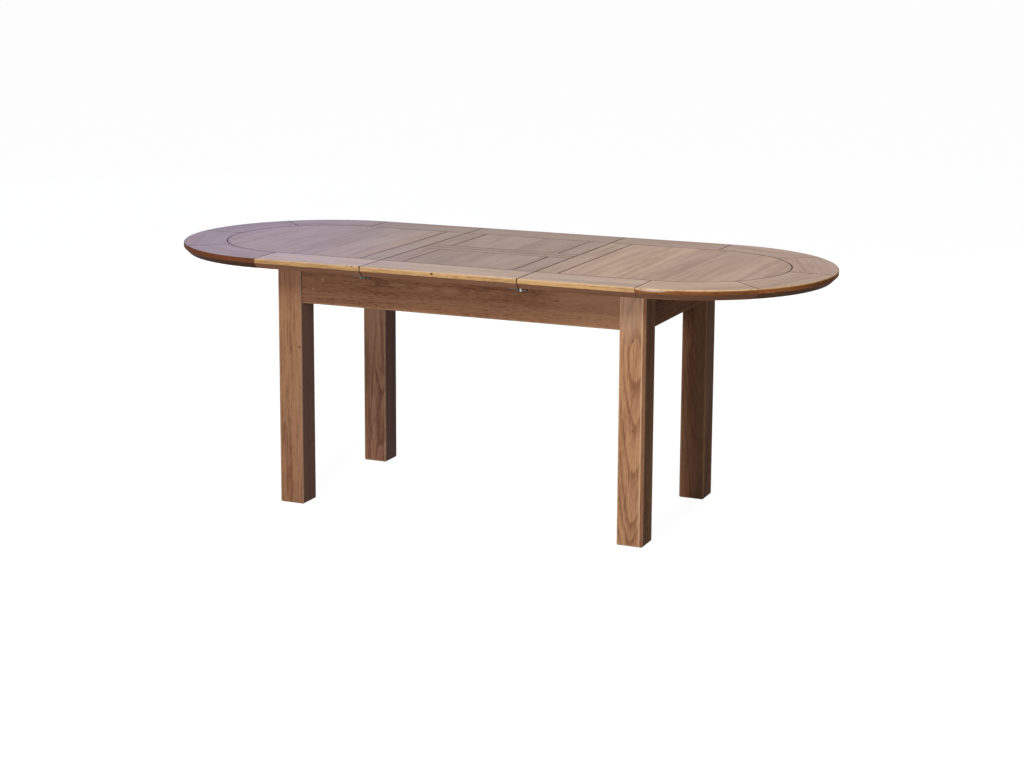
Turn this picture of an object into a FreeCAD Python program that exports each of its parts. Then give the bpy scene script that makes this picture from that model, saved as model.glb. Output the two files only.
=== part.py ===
import FreeCAD, Part
import os

import Sketcher

# Oval extending dining table on four square legs, drawn open with its folding centre leaf in place.
# Origin on the floor under the middle of the leaf, +X along the table, -Y to the front, +Z up.

# Driving sizes in millimetres
SIZES = {
    # Top
    "table_height": 780,
    "top_width": 890,
    "half_straight": 355,
    "leaf_length": 500,
    "edge_band": 14,
    "bevel_drop": 17,
    "bevel_run": 17,
    "rail_width": 136,
    "stile_width": 70,
    "fold_rail_width": 40,
    "arris": 1.5,
    "edge_ease": 2,
    "tongue_thickness": 10,
    "tongue_depth": 10,
    "groove_clearance": 0.3,
    "panel_gap": 0.5,
    "seam_gap": 0.8,
    "fold_gap": 0.5,
    # Base
    "leg_size": 80,
    "leg_span_long": 1190,
    "leg_span_wide": 640,
    "leg_radius": 3,
    "foot_chamfer": 3,
    "apron_height": 118,
    "apron_thickness": 24,
    "apron_inset": 7,
    "apron_ease": 1.5,
    "tenon_length": 25,
    "tenon_thickness": 10,
    "tenon_shoulder": 12,
    "mortise_clearance": 0.2,
    "top_clearance": 0.5,
    # Stow well for the folded leaf
    "stow_clearance": 13,
    "cross_rail_thickness": 24,
    "cross_rail_lift": 10,
    "cross_rail_gap": 6,
    "slat_width": 60,
    "slat_thickness": 16,
    "slat_offset": 120,
    # Corner blocks and their bolts
    "block_reach": 80,
    "block_height": 50,
    "bolt_shank": 8,
    "bolt_bite": 35,
    "bolt_head_flats": 13,
    "bolt_head_height": 5.5,
    "bolt_hole_clearance": 0.3,
    "bolt_hole_spare": 1,
    # Slides
    "slide_travel": 50,
    "slide_stop_gap": 1,
    "track_drop": 25,
    "track_height": 18,
    "track_depth": 17,
    "track_wall": 3,
    "track_end_gap": 1,
    "runner_length": 205,
    "runner_web": 4,
    "runner_web_gap": 2,
    "runner_plate": 4,
    "runner_flange": 30,
    "runner_clearance": 0.3,
    # Plates at the seams that carry the leaf
    "support_length": 85,
    "support_reach": 25,
    "support_width": 60,
    "support_thickness": 4,
    "support_corner": 8,
    "support_offset": 150,
    # Fold hinges
    "hinge_diameter": 14,
    "hinge_depth": 24,
    "hinge_spacing": 300,
    "hinge_slot_width": 4,
    "hinge_slot_depth": 12,
    "hinge_fit": 0.1,
    # Seam catches
    "catch_setback": 2,
    "catch_edge_gap": 1,
    "catch_length": 6,
    "catch_width": 14,
    "catch_height": 9,
    "keeper_length": 34,
    "keeper_plate": 2,
    "keeper_eye": 6,
    "keeper_clearance": 0.6,
    "catch_bolt": 5,
    "catch_bolt_inset": 1,
    "catch_bolt_clearance": 0.3,
    "catch_throw": 9,
    "knob_diameter": 8,
    "knob_length": 6,
    "knob_bore": 4,
    "knob_ease": 1,
    "knob_gap": 1,
    "knob_fit": 0.05,
}

# Levels of the top and base
TOP = "Sizes.table_height"
UNDER = "(Sizes.table_height - Sizes.edge_band - Sizes.bevel_drop)"
BOARD_MIDDLE = f"(({TOP} + {UNDER}) / 2)"
BASE_TOP = f"({UNDER} - Sizes.top_clearance)"
APRON_LOW = f"({BASE_TOP} - Sizes.apron_height)"
TRACK_TOP = f"({UNDER} - Sizes.track_drop)"
TRACK_LOW = f"({TRACK_TOP} - Sizes.track_height)"
CROSS_TOP = f"({TRACK_LOW} - Sizes.cross_rail_gap)"
CROSS_LOW = f"({APRON_LOW} + Sizes.cross_rail_lift)"
BLOCK_LOW = f"({CROSS_TOP} - Sizes.block_height)"
BOLT_LEVEL = f"(({CROSS_TOP} + {BLOCK_LOW}) / 2)"

# Places along the table
SEAM = "(Sizes.leaf_length / 2)"
LEAF_END = f"({SEAM} - Sizes.seam_gap / 2)"
HALF_START = f"({SEAM} + Sizes.seam_gap / 2)"
ARC_CENTRE = f"({SEAM} + Sizes.half_straight)"
LEG_X = "(Sizes.leg_span_long / 2 - Sizes.leg_size / 2)"
CROSS_INSIDE = f"({SEAM} + Sizes.stow_clearance)"
RUNNER_END = "(Sizes.leg_span_long / 2 - Sizes.leg_size - Sizes.slide_travel - Sizes.slide_stop_gap)"

# Places across the table
EDGE = "(Sizes.top_width / 2)"
RAIL_INSIDE = f"({EDGE} - Sizes.rail_width)"
FOLD_FACE = "(Sizes.fold_gap / 2)"
LEG_Y = "(Sizes.leg_span_wide / 2 - Sizes.leg_size / 2)"
APRON_SET = "(Sizes.apron_inset + Sizes.apron_thickness)"
APRON_INSIDE = f"(Sizes.leg_span_wide / 2 - {APRON_SET})"
CATCH_Y = f"({EDGE} - Sizes.bevel_run - Sizes.catch_edge_gap - Sizes.catch_width / 2)"

# Groove that holds the panels and the stub tenons
GROOVE_HIGH = f"({BOARD_MIDDLE} + Sizes.tongue_thickness / 2 + Sizes.groove_clearance)"
GROOVE_LOW = f"({BOARD_MIDDLE} - Sizes.tongue_thickness / 2 - Sizes.groove_clearance)"
GROOVE_DEPTH = "(Sizes.tongue_depth + Sizes.groove_clearance)"
TONGUE_HIGH = f"({BOARD_MIDDLE} + Sizes.tongue_thickness / 2)"
TONGUE_LOW = f"({BOARD_MIDDLE} - Sizes.tongue_thickness / 2)"

# Corner bolts run from the blocks out through the inner corner of each leg
BOLT_HOLE = "Sizes.bolt_shank / 2 + Sizes.bolt_hole_clearance"
BOLT_WAY = FreeCAD.Vector(1, 1, 0)

# Ring of one rounded end, counted from the front to the back of the right-hand end
RING_NAMES = ("front_ring", "front_tip", "back_tip", "back_ring")
RING_ANGLE = 180 / len(RING_NAMES)
TOLERANCE = 1e-4

doc = FreeCAD.newDocument("extending_table")
sizes = doc.addObject("Spreadsheet::Sheet", "Sizes")
for row, (alias, number) in enumerate(SIZES.items(), start=1):
    sizes.set(f"A{row}", alias)
    sizes.set(f"B{row}", str(number))
    sizes.setAlias(f"B{row}", alias)
doc.recompute()

pieces = []


def value(expression):
    """The number that an expression over the sheet gives."""
    return float(sizes.evalExpression(expression))


def new_body(label):
    """An empty body under its own name."""
    body = doc.addObject("PartDesign::Body", label)
    body.Label = label
    return body


def place(body, x="0", y="0", z="0", turn=0, lean=None):
    """Puts a body at a point given in expressions, turned about Z after an optional lean."""
    rotation = FreeCAD.Rotation(FreeCAD.Vector(0, 0, 1), turn)
    if lean is not None:
        rotation = rotation.multiply(lean)
    body.Placement.Rotation = rotation
    for axis, expression in zip("xyz", (x, y, z)):
        body.setExpression(f"Placement.Base.{axis}", expression)
    return body


def keep(body):
    """Counts a body as a piece of the table that has a node of its own."""
    pieces.append(body)
    return body


def group(label, members):
    """Several separate solids of one kind that share a node."""
    compound = doc.addObject("Part::Compound", label)
    compound.Label = label
    compound.Links = members
    return keep(compound)


def sketch_on(body, role, offset="0"):
    """A sketch on one of the body's own planes, moved along the plane's normal."""
    sketch = body.newObject("Sketcher::SketchObject", f"{body.Name}_outline")
    support = next(plane for plane in body.Origin.OriginFeatures if plane.Role == role)
    sketch.AttachmentSupport = [(support, "")]
    sketch.MapMode = "FlatFace"
    sketch.setExpression("AttachmentOffset.Base.z", offset)
    return sketch


def pin(sketch, line, end, x, y):
    """Ties the end of a line, or a circle's centre, to a place given in expressions."""
    for kind, expression in (("DistanceX", x), ("DistanceY", y)):
        if expression is None:
            continue
        rule = Sketcher.Constraint(kind, -1, 1, line, end, value(expression))
        index = sketch.addConstraint(rule)
        sketch.setExpression(f"Constraints[{index}]", expression)


def polygon(sketch, points):
    """A closed outline of straight lines through points given as pairs of expressions."""
    first = sketch.GeometryCount
    count = len(points)
    corners = [FreeCAD.Vector(value(x), value(y), 0) for x, y in points]
    for index, corner in enumerate(corners):
        sketch.addGeometry(Part.LineSegment(corner, corners[(index + 1) % count]), False)
    for index in range(count):
        following = first + (index + 1) % count
        sketch.addConstraint(Sketcher.Constraint("Coincident", first + index, 2, following, 1))
    for index, (x, y) in enumerate(points):
        pin(sketch, first + index, 1, x, y)


def rectangle(sketch, left, right, low, high):
    """A rectangle between two places along each axis."""
    polygon(sketch, [(left, low), (right, low), (right, high), (left, high)])


def circle(sketch, x, y, radius):
    """A circle about a point, with its radius given as an expression."""
    centre = FreeCAD.Vector(value(x), value(y), 0)
    axis = FreeCAD.Vector(0, 0, 1)
    index = sketch.addGeometry(Part.Circle(centre, axis, value(radius)), False)
    pin(sketch, index, 3, x, y)
    rule = sketch.addConstraint(Sketcher.Constraint("Radius", index, value(radius)))
    sketch.setExpression(f"Constraints[{rule}]", radius)


def round_ended(sketch, start, arc_centre, radius):
    """A rectangle closed by a half circle at its far end."""
    low = FreeCAD.Vector(value(start), -value(radius), 0)
    high = FreeCAD.Vector(value(start), value(radius), 0)
    low_arc = FreeCAD.Vector(value(arc_centre), -value(radius), 0)
    high_arc = FreeCAD.Vector(value(arc_centre), value(radius), 0)
    tip = FreeCAD.Vector(value(arc_centre) + value(radius), 0, 0)
    straight, curve, back, end = range(4)
    sketch.addGeometry(Part.LineSegment(low, low_arc), False)
    sketch.addGeometry(Part.Arc(low_arc, tip, high_arc), False)
    sketch.addGeometry(Part.LineSegment(high_arc, high), False)
    sketch.addGeometry(Part.LineSegment(high, low), False)
    for here, there in ((straight, curve), (curve, back), (back, end), (end, straight)):
        sketch.addConstraint(Sketcher.Constraint("Coincident", here, 2, there, 1))
    pin(sketch, straight, 1, start, f"-{radius}")
    pin(sketch, straight, 2, arc_centre, f"-{radius}")
    pin(sketch, back, 1, arc_centre, radius)
    pin(sketch, back, 2, start, radius)
    pin(sketch, curve, 3, arc_centre, None)


def pad(body, sketch, length, centred=False):
    """Draws a sketch out along its normal, or both ways from its plane."""
    feature = body.newObject("PartDesign::Pad", f"{body.Name}_pad")
    feature.Profile = sketch
    feature.setExpression("Length", length)
    if centred:
        feature.SideType = "Symmetric"
    doc.recompute()
    return feature


def pocket(body, sketch, depth, forward=False):
    """Cuts a sketch into the body against its normal, or along it when forward."""
    before = body.Shape.Volume
    feature = body.newObject("PartDesign::Pocket", f"{body.Name}_pocket")
    feature.Profile = sketch
    feature.Reversed = forward
    feature.setExpression("Length", depth)
    doc.recompute()
    if body.Shape.Volume > before - TOLERANCE:
        raise ValueError(f"{body.Label}: the cut takes nothing away")
    return feature


def edges_of(feature, test):
    """Names of the edges of a feature that pass a test."""
    return [f"Edge{i}" for i, edge in enumerate(feature.Shape.Edges, start=1) if test(edge)]


def face_at(feature, level):
    """Name of the flat face that lies at a height."""
    for index, face in enumerate(feature.Shape.Faces, start=1):
        box = face.BoundBox
        if abs(box.ZMin - level) < TOLERANCE and abs(box.ZMax - level) < TOLERANCE:
            return [f"Face{index}"]
    raise ValueError(f"{feature.Label}: no flat face at {level}")


def chamfer(body, feature, names, size):
    """Breaks the named edges, or the edges round the named face."""
    cut = body.newObject("PartDesign::Chamfer", f"{body.Name}_chamfer")
    cut.Base = (feature, names)
    cut.setExpression("Size", size)
    doc.recompute()
    return cut


def fillet(body, feature, names, radius):
    """Rounds the named edges."""
    curve = body.newObject("PartDesign::Fillet", f"{body.Name}_fillet")
    curve.Base = (feature, names)
    curve.setExpression("Radius", radius)
    doc.recompute()
    return curve


def bore(body, radius, length, x, y, z, direction):
    """Drills a round hole from a point along a direction."""
    hole = body.newObject("PartDesign::SubtractiveCylinder", f"{body.Name}_bore")
    hole.setExpression("Radius", radius)
    hole.setExpression("Height", length)
    hole.Placement.Rotation = FreeCAD.Rotation(FreeCAD.Vector(0, 0, 1), direction)
    for axis, expression in zip("xyz", (x, y, z)):
        hole.setExpression(f"Placement.Base.{axis}", expression)
    doc.recompute()
    return hole


def is_top_end(edge):
    """True for a straight edge that lies in the table's top face."""
    box = edge.BoundBox
    level = value(TOP)
    return edge.Curve.TypeId == "Part::GeomLine" and abs(box.ZMin - level) < TOLERANCE


def is_upright(edge):
    """True for a vertical edge."""
    box = edge.BoundBox
    return box.ZLength > TOLERANCE and box.XLength < TOLERANCE and box.YLength < TOLERANCE


# Section of the boards round the edge, from the groove at the panel out to the bevelled edge
EDGE_SECTION = [
    (RAIL_INSIDE, UNDER),
    (f"{EDGE} - Sizes.bevel_run", UNDER),
    (EDGE, f"{TOP} - Sizes.edge_band"),
    (EDGE, f"{TOP} - Sizes.edge_ease"),
    (f"{EDGE} - Sizes.edge_ease", TOP),
    (f"{RAIL_INSIDE} + Sizes.arris", TOP),
    (RAIL_INSIDE, f"{TOP} - Sizes.arris"),
    (RAIL_INSIDE, GROOVE_HIGH),
    (f"{RAIL_INSIDE} + {GROOVE_DEPTH}", GROOVE_HIGH),
    (f"{RAIL_INSIDE} + {GROOVE_DEPTH}", GROOVE_LOW),
    (RAIL_INSIDE, GROOVE_LOW),
]


def grooved_section(start, end):
    """Section of a stile or fold rail with a plain edge at its start and a groove at its end."""
    return [
        (start, UNDER),
        (end, UNDER),
        (end, GROOVE_LOW),
        (f"{end} - {GROOVE_DEPTH}", GROOVE_LOW),
        (f"{end} - {GROOVE_DEPTH}", GROOVE_HIGH),
        (end, GROOVE_HIGH),
        (end, f"{TOP} - Sizes.arris"),
        (f"{end} - Sizes.arris", TOP),
        (f"{start} + Sizes.arris", TOP),
        (start, f"{TOP} - Sizes.arris"),
    ]


def edge_rail(label, length, x, turn):
    """A straight board along the table's long edge, with its ends eased at the joints."""
    body = new_body(label)
    sketch = sketch_on(body, "YZ_Plane")
    polygon(sketch, EDGE_SECTION)
    board = pad(body, sketch, length, centred=True)
    half = value(length) / 2
    ends = edges_of(board, lambda e: is_top_end(e) and abs(abs(e.CenterOfMass.x) - half) < TOLERANCE)
    chamfer(body, board, ends, "Sizes.arris")
    return keep(place(body, x=x, turn=turn))


def ring_segment(label, x, turn):
    """One curved board of a rounded end."""
    body = new_body(label)
    sketch = sketch_on(body, "XZ_Plane")
    polygon(sketch, EDGE_SECTION)
    board = body.newObject("PartDesign::Revolution", f"{body.Name}_sweep")
    board.Profile = sketch
    board.ReferenceAxis = (sketch, ["V_Axis"])
    board.Angle = RING_ANGLE
    doc.recompute()
    chamfer(body, board, edges_of(board, is_top_end), "Sizes.arris")
    return keep(place(body, x=x, turn=turn))


def stile(label, length, x, y, turn):
    """A board across the table beside a seam, with stub tenons that fill the rails' grooves."""
    body = new_body(label)
    sketch = sketch_on(body, "XZ_Plane")
    polygon(sketch, grooved_section("0", "Sizes.stile_width"))
    board = pad(body, sketch, length, centred=True)
    half = value(length) / 2
    ends = edges_of(board, lambda e: is_top_end(e) and abs(abs(e.CenterOfMass.y) - half) < TOLERANCE)
    chamfer(body, board, ends, "Sizes.arris")
    stub = sketch_on(body, "XZ_Plane")
    rectangle(stub, "0", f"Sizes.stile_width - {GROOVE_DEPTH}", TONGUE_LOW, TONGUE_HIGH)
    pad(body, stub, f"{length} + 2 * Sizes.tongue_depth", centred=True)
    return keep(place(body, x=x, y=y, turn=turn))


def fielded(body, outline):
    """A full-thickness panel with eased top edges and a tongue all round it.

    The outline draws the panel's shape in a sketch, grown by a distance past the frame's opening.
    """
    core = sketch_on(body, "XY_Plane", UNDER)
    outline(core, "(-Sizes.panel_gap)")
    board = pad(body, core, f"{TOP} - {UNDER}")
    chamfer(body, board, face_at(board, value(TOP)), "Sizes.arris")
    rim = sketch_on(body, "XY_Plane", TONGUE_LOW)
    outline(rim, "Sizes.tongue_depth")
    pad(body, rim, "Sizes.tongue_thickness")


def half_panel(label, turn):
    """The round-ended panel of a sliding half-top."""
    body = new_body(label)

    def outline(sketch, out):
        start = f"{HALF_START} + Sizes.stile_width - {out}"
        round_ended(sketch, start, ARC_CENTRE, f"({RAIL_INSIDE} + {out})")

    fielded(body, outline)
    return keep(place(body, turn=turn))


def leaf_panel(label, turn):
    """The rectangular panel of one half of the leaf."""
    body = new_body(label)
    side = f"({LEAF_END} - Sizes.stile_width)"
    fold = "Sizes.fold_rail_width"

    def outline(sketch, out):
        rectangle(
            sketch,
            f"-{side} - {out}",
            f"{side} + {out}",
            f"{fold} - {out}",
            f"{RAIL_INSIDE} + {out}",
        )

    fielded(body, outline)
    return keep(place(body, turn=turn))


def fold_rail(label, turn):
    """The narrow rail at the leaf's fold, bored for the concealed hinges."""
    body = new_body(label)
    sketch = sketch_on(body, "YZ_Plane")
    polygon(sketch, grooved_section(FOLD_FACE, "Sizes.fold_rail_width"))
    length = f"(2 * {LEAF_END})"
    board = pad(body, sketch, length, centred=True)
    half = value(length) / 2
    ends = edges_of(board, lambda e: is_top_end(e) and abs(abs(e.CenterOfMass.x) - half) < TOLERANCE)
    chamfer(body, board, ends, "Sizes.arris")
    holes = sketch_on(body, "XZ_Plane")
    for side in ("-", ""):
        place_x = f"{side}Sizes.hinge_spacing / 2"
        circle(holes, place_x, BOARD_MIDDLE, "Sizes.hinge_diameter / 2 + Sizes.hinge_fit")
    pocket(body, holes, f"{FOLD_FACE} + Sizes.hinge_depth")
    return keep(place(body, turn=turn))


def hinge_cup(label, x, turn):
    """The slotted barrel of a concealed hinge, set flush in the fold rail."""
    body = new_body(label)
    barrel = sketch_on(body, "XZ_Plane", f"-{FOLD_FACE}")
    circle(barrel, "0", BOARD_MIDDLE, "Sizes.hinge_diameter / 2")
    solid = pad(body, barrel, "Sizes.hinge_depth")
    solid.Reversed = True
    slot = sketch_on(body, "XZ_Plane", f"-{FOLD_FACE}")
    rectangle(slot, "-Sizes.hinge_slot_width / 2", "Sizes.hinge_slot_width / 2", TONGUE_LOW, TONGUE_HIGH)
    doc.recompute()
    pocket(body, slot, "Sizes.hinge_slot_depth")
    return place(body, x=x, turn=turn)


def leg(label, x, y, turn):
    """A square leg with eased corners, two mortises and a pilot hole for the corner bolt."""
    body = new_body(label)
    side = "(Sizes.leg_size / 2)"
    sketch = sketch_on(body, "XY_Plane")
    rectangle(sketch, f"-{side}", side, f"-{side}", side)
    post = pad(body, sketch, BASE_TOP)
    eased = fillet(body, post, edges_of(post, is_upright), "Sizes.leg_radius")
    chamfer(body, eased, face_at(eased, 0), "Sizes.foot_chamfer")
    middle = f"({side} - Sizes.apron_inset - Sizes.apron_thickness / 2)"
    cheek = "(Sizes.tenon_thickness / 2 + Sizes.mortise_clearance)"
    mouth = f"-{side} - Sizes.mortise_clearance"
    bottom = f"-{side} + Sizes.tenon_length + Sizes.mortise_clearance"
    high = f"({BASE_TOP} - Sizes.tenon_shoulder + Sizes.mortise_clearance)"
    low = f"({APRON_LOW} + Sizes.tenon_shoulder - Sizes.mortise_clearance)"
    mortises = sketch_on(body, "XY_Plane", high)
    rectangle(mortises, mouth, bottom, f"{middle} - {cheek}", f"{middle} + {cheek}")
    rectangle(mortises, f"{middle} - {cheek}", f"{middle} + {cheek}", mouth, bottom)
    pocket(body, mortises, f"{high} - {low}")
    depth = "Sizes.bolt_bite + Sizes.bolt_hole_spare"
    bore(body, BOLT_HOLE, depth, f"-{side}", f"-{side}", BOLT_LEVEL, BOLT_WAY)
    return keep(place(body, x=x, y=y, turn=turn))


def corner_block(label, x, y, turn):
    """A block glued across the corner between two aprons, notched over the leg."""
    body = new_body(label)
    side = "(Sizes.leg_size / 2)"
    wall = f"({side} - {APRON_SET})"
    reach = f"-{side} - Sizes.block_reach"
    sketch = sketch_on(body, "XY_Plane", BLOCK_LOW)
    outline = [(reach, wall), (f"-{side}", wall), (f"-{side}", f"-{side}"), (wall, f"-{side}"), (wall, reach)]
    polygon(sketch, outline)
    pad(body, sketch, "Sizes.block_height")
    through = "Sizes.block_reach * 2"
    bore(body, BOLT_HOLE, through, reach, reach, BOLT_LEVEL, BOLT_WAY)
    return place(body, x=x, y=y, turn=turn)


def corner_bolt(label, x, y, turn):
    """A hexagon-headed bolt driven through a corner block into its leg."""
    body = new_body(label)
    side = "(Sizes.leg_size / 2)"
    wall = f"({side} - {APRON_SET})"
    face = f"(({wall} - {side} - Sizes.block_reach) / sqrt(2))"
    tip = "(Sizes.bolt_bite - Sizes.leg_size / sqrt(2))"
    head = sketch_on(body, "XY_Plane", f"{face} - Sizes.bolt_head_height")
    across = "(Sizes.bolt_head_flats / 2)"
    corner = "(Sizes.bolt_head_flats / sqrt(3))"
    polygon(
        head,
        [
            (corner, "0"),
            (f"{corner} / 2", across),
            (f"-{corner} / 2", across),
            (f"-{corner}", "0"),
            (f"-{corner} / 2", f"-{across}"),
            (f"{corner} / 2", f"-{across}"),
        ],
    )
    pad(body, head, "Sizes.bolt_head_height")
    shank = sketch_on(body, "XY_Plane", face)
    circle(shank, "0", "0", "Sizes.bolt_shank / 2")
    pad(body, shank, f"{tip} - {face}")
    lean = FreeCAD.Rotation(FreeCAD.Vector(0, 0, 1), BOLT_WAY)
    return place(body, x=x, y=y, z=BOLT_LEVEL, turn=turn, lean=lean)


def apron(label, length, x, y, turn):
    """A rail between two legs, tenoned at both ends."""
    body = new_body(label)
    half = "(Sizes.apron_thickness / 2)"
    ease = "Sizes.apron_ease"
    sketch = sketch_on(body, "YZ_Plane")
    outline = [
        (f"-{half} + {ease}", APRON_LOW),
        (f"{half} - {ease}", APRON_LOW),
        (half, f"{APRON_LOW} + {ease}"),
        (half, BASE_TOP),
        (f"-{half}", BASE_TOP),
        (f"-{half}", f"{APRON_LOW} + {ease}"),
    ]
    polygon(sketch, outline)
    pad(body, sketch, length, centred=True)
    tenon = sketch_on(body, "YZ_Plane")
    cheek = "(Sizes.tenon_thickness / 2)"
    low = f"{APRON_LOW} + Sizes.tenon_shoulder"
    high = f"{BASE_TOP} - Sizes.tenon_shoulder"
    rectangle(tenon, f"-{cheek}", cheek, low, high)
    pad(body, tenon, f"{length} + 2 * Sizes.tenon_length", centred=True)
    return keep(place(body, x=x, y=y, turn=turn))


def cross_rail(label, x):
    """A rail between the long aprons at one end of the stow well."""
    body = new_body(label)
    half = "(Sizes.cross_rail_thickness / 2)"
    sketch = sketch_on(body, "XZ_Plane")
    rectangle(sketch, f"-{half}", half, CROSS_LOW, CROSS_TOP)
    pad(body, sketch, f"2 * {APRON_INSIDE}", centred=True)
    return keep(place(body, x=x))


def slat(label, y):
    """A slat between the cross rails that the stowed leaf lies on."""
    body = new_body(label)
    half = "(Sizes.slat_width / 2)"
    sketch = sketch_on(body, "YZ_Plane")
    rectangle(sketch, f"-{half}", half, CROSS_LOW, f"{CROSS_LOW} + Sizes.slat_thickness")
    pad(body, sketch, f"2 * {CROSS_INSIDE}", centred=True)
    return place(body, y=y)


def track(label, turn):
    """A channel on the inside of a long apron, open towards the middle of the table."""
    body = new_body(label)
    wall = "Sizes.track_wall"
    mouth = f"{APRON_INSIDE} - Sizes.track_depth"
    sketch = sketch_on(body, "YZ_Plane")
    outline = [
        (APRON_INSIDE, TRACK_LOW),
        (APRON_INSIDE, TRACK_TOP),
        (mouth, TRACK_TOP),
        (mouth, f"{TRACK_TOP} - {wall}"),
        (f"{APRON_INSIDE} - {wall}", f"{TRACK_TOP} - {wall}"),
        (f"{APRON_INSIDE} - {wall}", f"{TRACK_LOW} + {wall}"),
        (mouth, f"{TRACK_LOW} + {wall}"),
        (mouth, TRACK_LOW),
    ]
    polygon(sketch, outline)
    span = "Sizes.leg_span_long - 2 * Sizes.leg_size - 2 * Sizes.track_end_gap"
    pad(body, sketch, span, centred=True)
    return place(body, turn=turn)


def runner(label, x, turn):
    """A bent bar under a half-top whose foot runs in the track."""
    body = new_body(label)
    web_out = f"({APRON_INSIDE} - Sizes.track_depth - Sizes.runner_web_gap)"
    web_in = f"{web_out} - Sizes.runner_web"
    flange = f"{web_out} - Sizes.runner_flange"
    foot_out = f"{APRON_INSIDE} - Sizes.track_wall - Sizes.runner_clearance"
    foot_high = f"{TRACK_TOP} - Sizes.track_wall - Sizes.runner_clearance"
    foot_low = f"{TRACK_LOW} + Sizes.track_wall + Sizes.runner_clearance"
    sketch = sketch_on(body, "YZ_Plane")
    outline = [
        (flange, UNDER),
        (flange, f"{UNDER} - Sizes.runner_plate"),
        (web_in, f"{UNDER} - Sizes.runner_plate"),
        (web_in, foot_low),
        (foot_out, foot_low),
        (foot_out, foot_high),
        (web_out, foot_high),
        (web_out, UNDER),
    ]
    polygon(sketch, outline)
    pad(body, sketch, "Sizes.runner_length", centred=True)
    return place(body, x=x, turn=turn)


def support_plate(label, x, y, turn):
    """A steel plate under a seam stile that reaches under the leaf and carries it."""
    body = new_body(label)
    half = "(Sizes.support_width / 2)"
    reach = "-Sizes.support_reach"
    sketch = sketch_on(body, "XY_Plane", f"{UNDER} - Sizes.support_thickness")
    rectangle(sketch, reach, f"Sizes.support_length + {reach}", f"-{half}", half)
    plate = pad(body, sketch, "Sizes.support_thickness")
    fillet(body, plate, edges_of(plate, is_upright), "Sizes.support_corner")
    return place(body, x=x, y=y, turn=turn)


def catch_body(label, x, y):
    """The housing of a seam catch, bored along its length for the bolt."""
    body = new_body(label)
    half = "(Sizes.catch_width / 2)"
    sketch = sketch_on(body, "YZ_Plane", "Sizes.catch_setback")
    rectangle(sketch, f"-{half}", half, "-Sizes.catch_height", "0")
    radius = "Sizes.catch_bolt / 2 + Sizes.catch_bolt_clearance"
    circle(sketch, "0", "-Sizes.catch_height / 2", radius)
    pad(body, sketch, "Sizes.catch_length")
    return place(body, x=x, y=y, z=UNDER)


def catch_keeper(label, x, y):
    """The strip and eye on the other side of the seam, which take the bolt."""
    body = new_body(label)
    half = "(Sizes.catch_width / 2)"
    strip = sketch_on(body, "YZ_Plane", "-Sizes.catch_setback - Sizes.keeper_length")
    rectangle(strip, f"-{half}", half, "-Sizes.keeper_plate", "0")
    pad(body, strip, "Sizes.keeper_length")
    eye = sketch_on(body, "YZ_Plane", "-Sizes.catch_setback - Sizes.keeper_eye")
    rectangle(eye, f"-{half}", half, "-Sizes.catch_height", "0")
    pad(body, eye, "Sizes.keeper_eye")
    hole = sketch_on(body, "YZ_Plane", "-Sizes.catch_setback")
    radius = "Sizes.catch_bolt / 2 + Sizes.keeper_clearance"
    circle(hole, "0", "-Sizes.catch_height / 2", radius)
    pocket(body, hole, "Sizes.keeper_eye")
    return place(body, x=x, y=y, z=UNDER)


# Where the knob begins on a catch bolt, measured from the seam
KNOB_START = "(Sizes.catch_setback + Sizes.catch_length + Sizes.catch_throw + Sizes.knob_gap)"
BOLT_AXIS = f"{UNDER} - Sizes.catch_height / 2"


def catch_bolt(label, x, y):
    """The sliding bolt of a seam catch, shown drawn back."""
    body = new_body(label)
    start = "(Sizes.catch_setback + Sizes.catch_bolt_inset)"
    sketch = sketch_on(body, "YZ_Plane", start)
    circle(sketch, "0", "0", "Sizes.catch_bolt / 2")
    pad(body, sketch, f"{KNOB_START} + Sizes.knob_bore - {start}")
    return keep(place(body, x=x, y=y, z=BOLT_AXIS))


def catch_knob(label, x, y):
    """The black knob pressed on the tail of a catch bolt."""
    body = new_body(label)
    inner = "Sizes.catch_bolt / 2 + Sizes.knob_fit"
    outer = "Sizes.knob_diameter / 2"
    end = f"{KNOB_START} + Sizes.knob_length"
    bottom = f"{KNOB_START} + Sizes.knob_bore"
    sketch = sketch_on(body, "XY_Plane")
    outline = [
        (KNOB_START, inner),
        (KNOB_START, f"{outer} - Sizes.knob_ease"),
        (f"{KNOB_START} + Sizes.knob_ease", outer),
        (f"{end} - Sizes.knob_ease", outer),
        (end, f"{outer} - Sizes.knob_ease"),
        (end, "0"),
        (bottom, "0"),
        (bottom, inner),
    ]
    polygon(sketch, outline)
    turned = body.newObject("PartDesign::Revolution", f"{body.Name}_turned")
    turned.Profile = sketch
    turned.ReferenceAxis = (sketch, ["H_Axis"])
    turned.Angle = 360
    doc.recompute()
    return keep(place(body, x=x, y=y, z=BOLT_AXIS))


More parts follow.
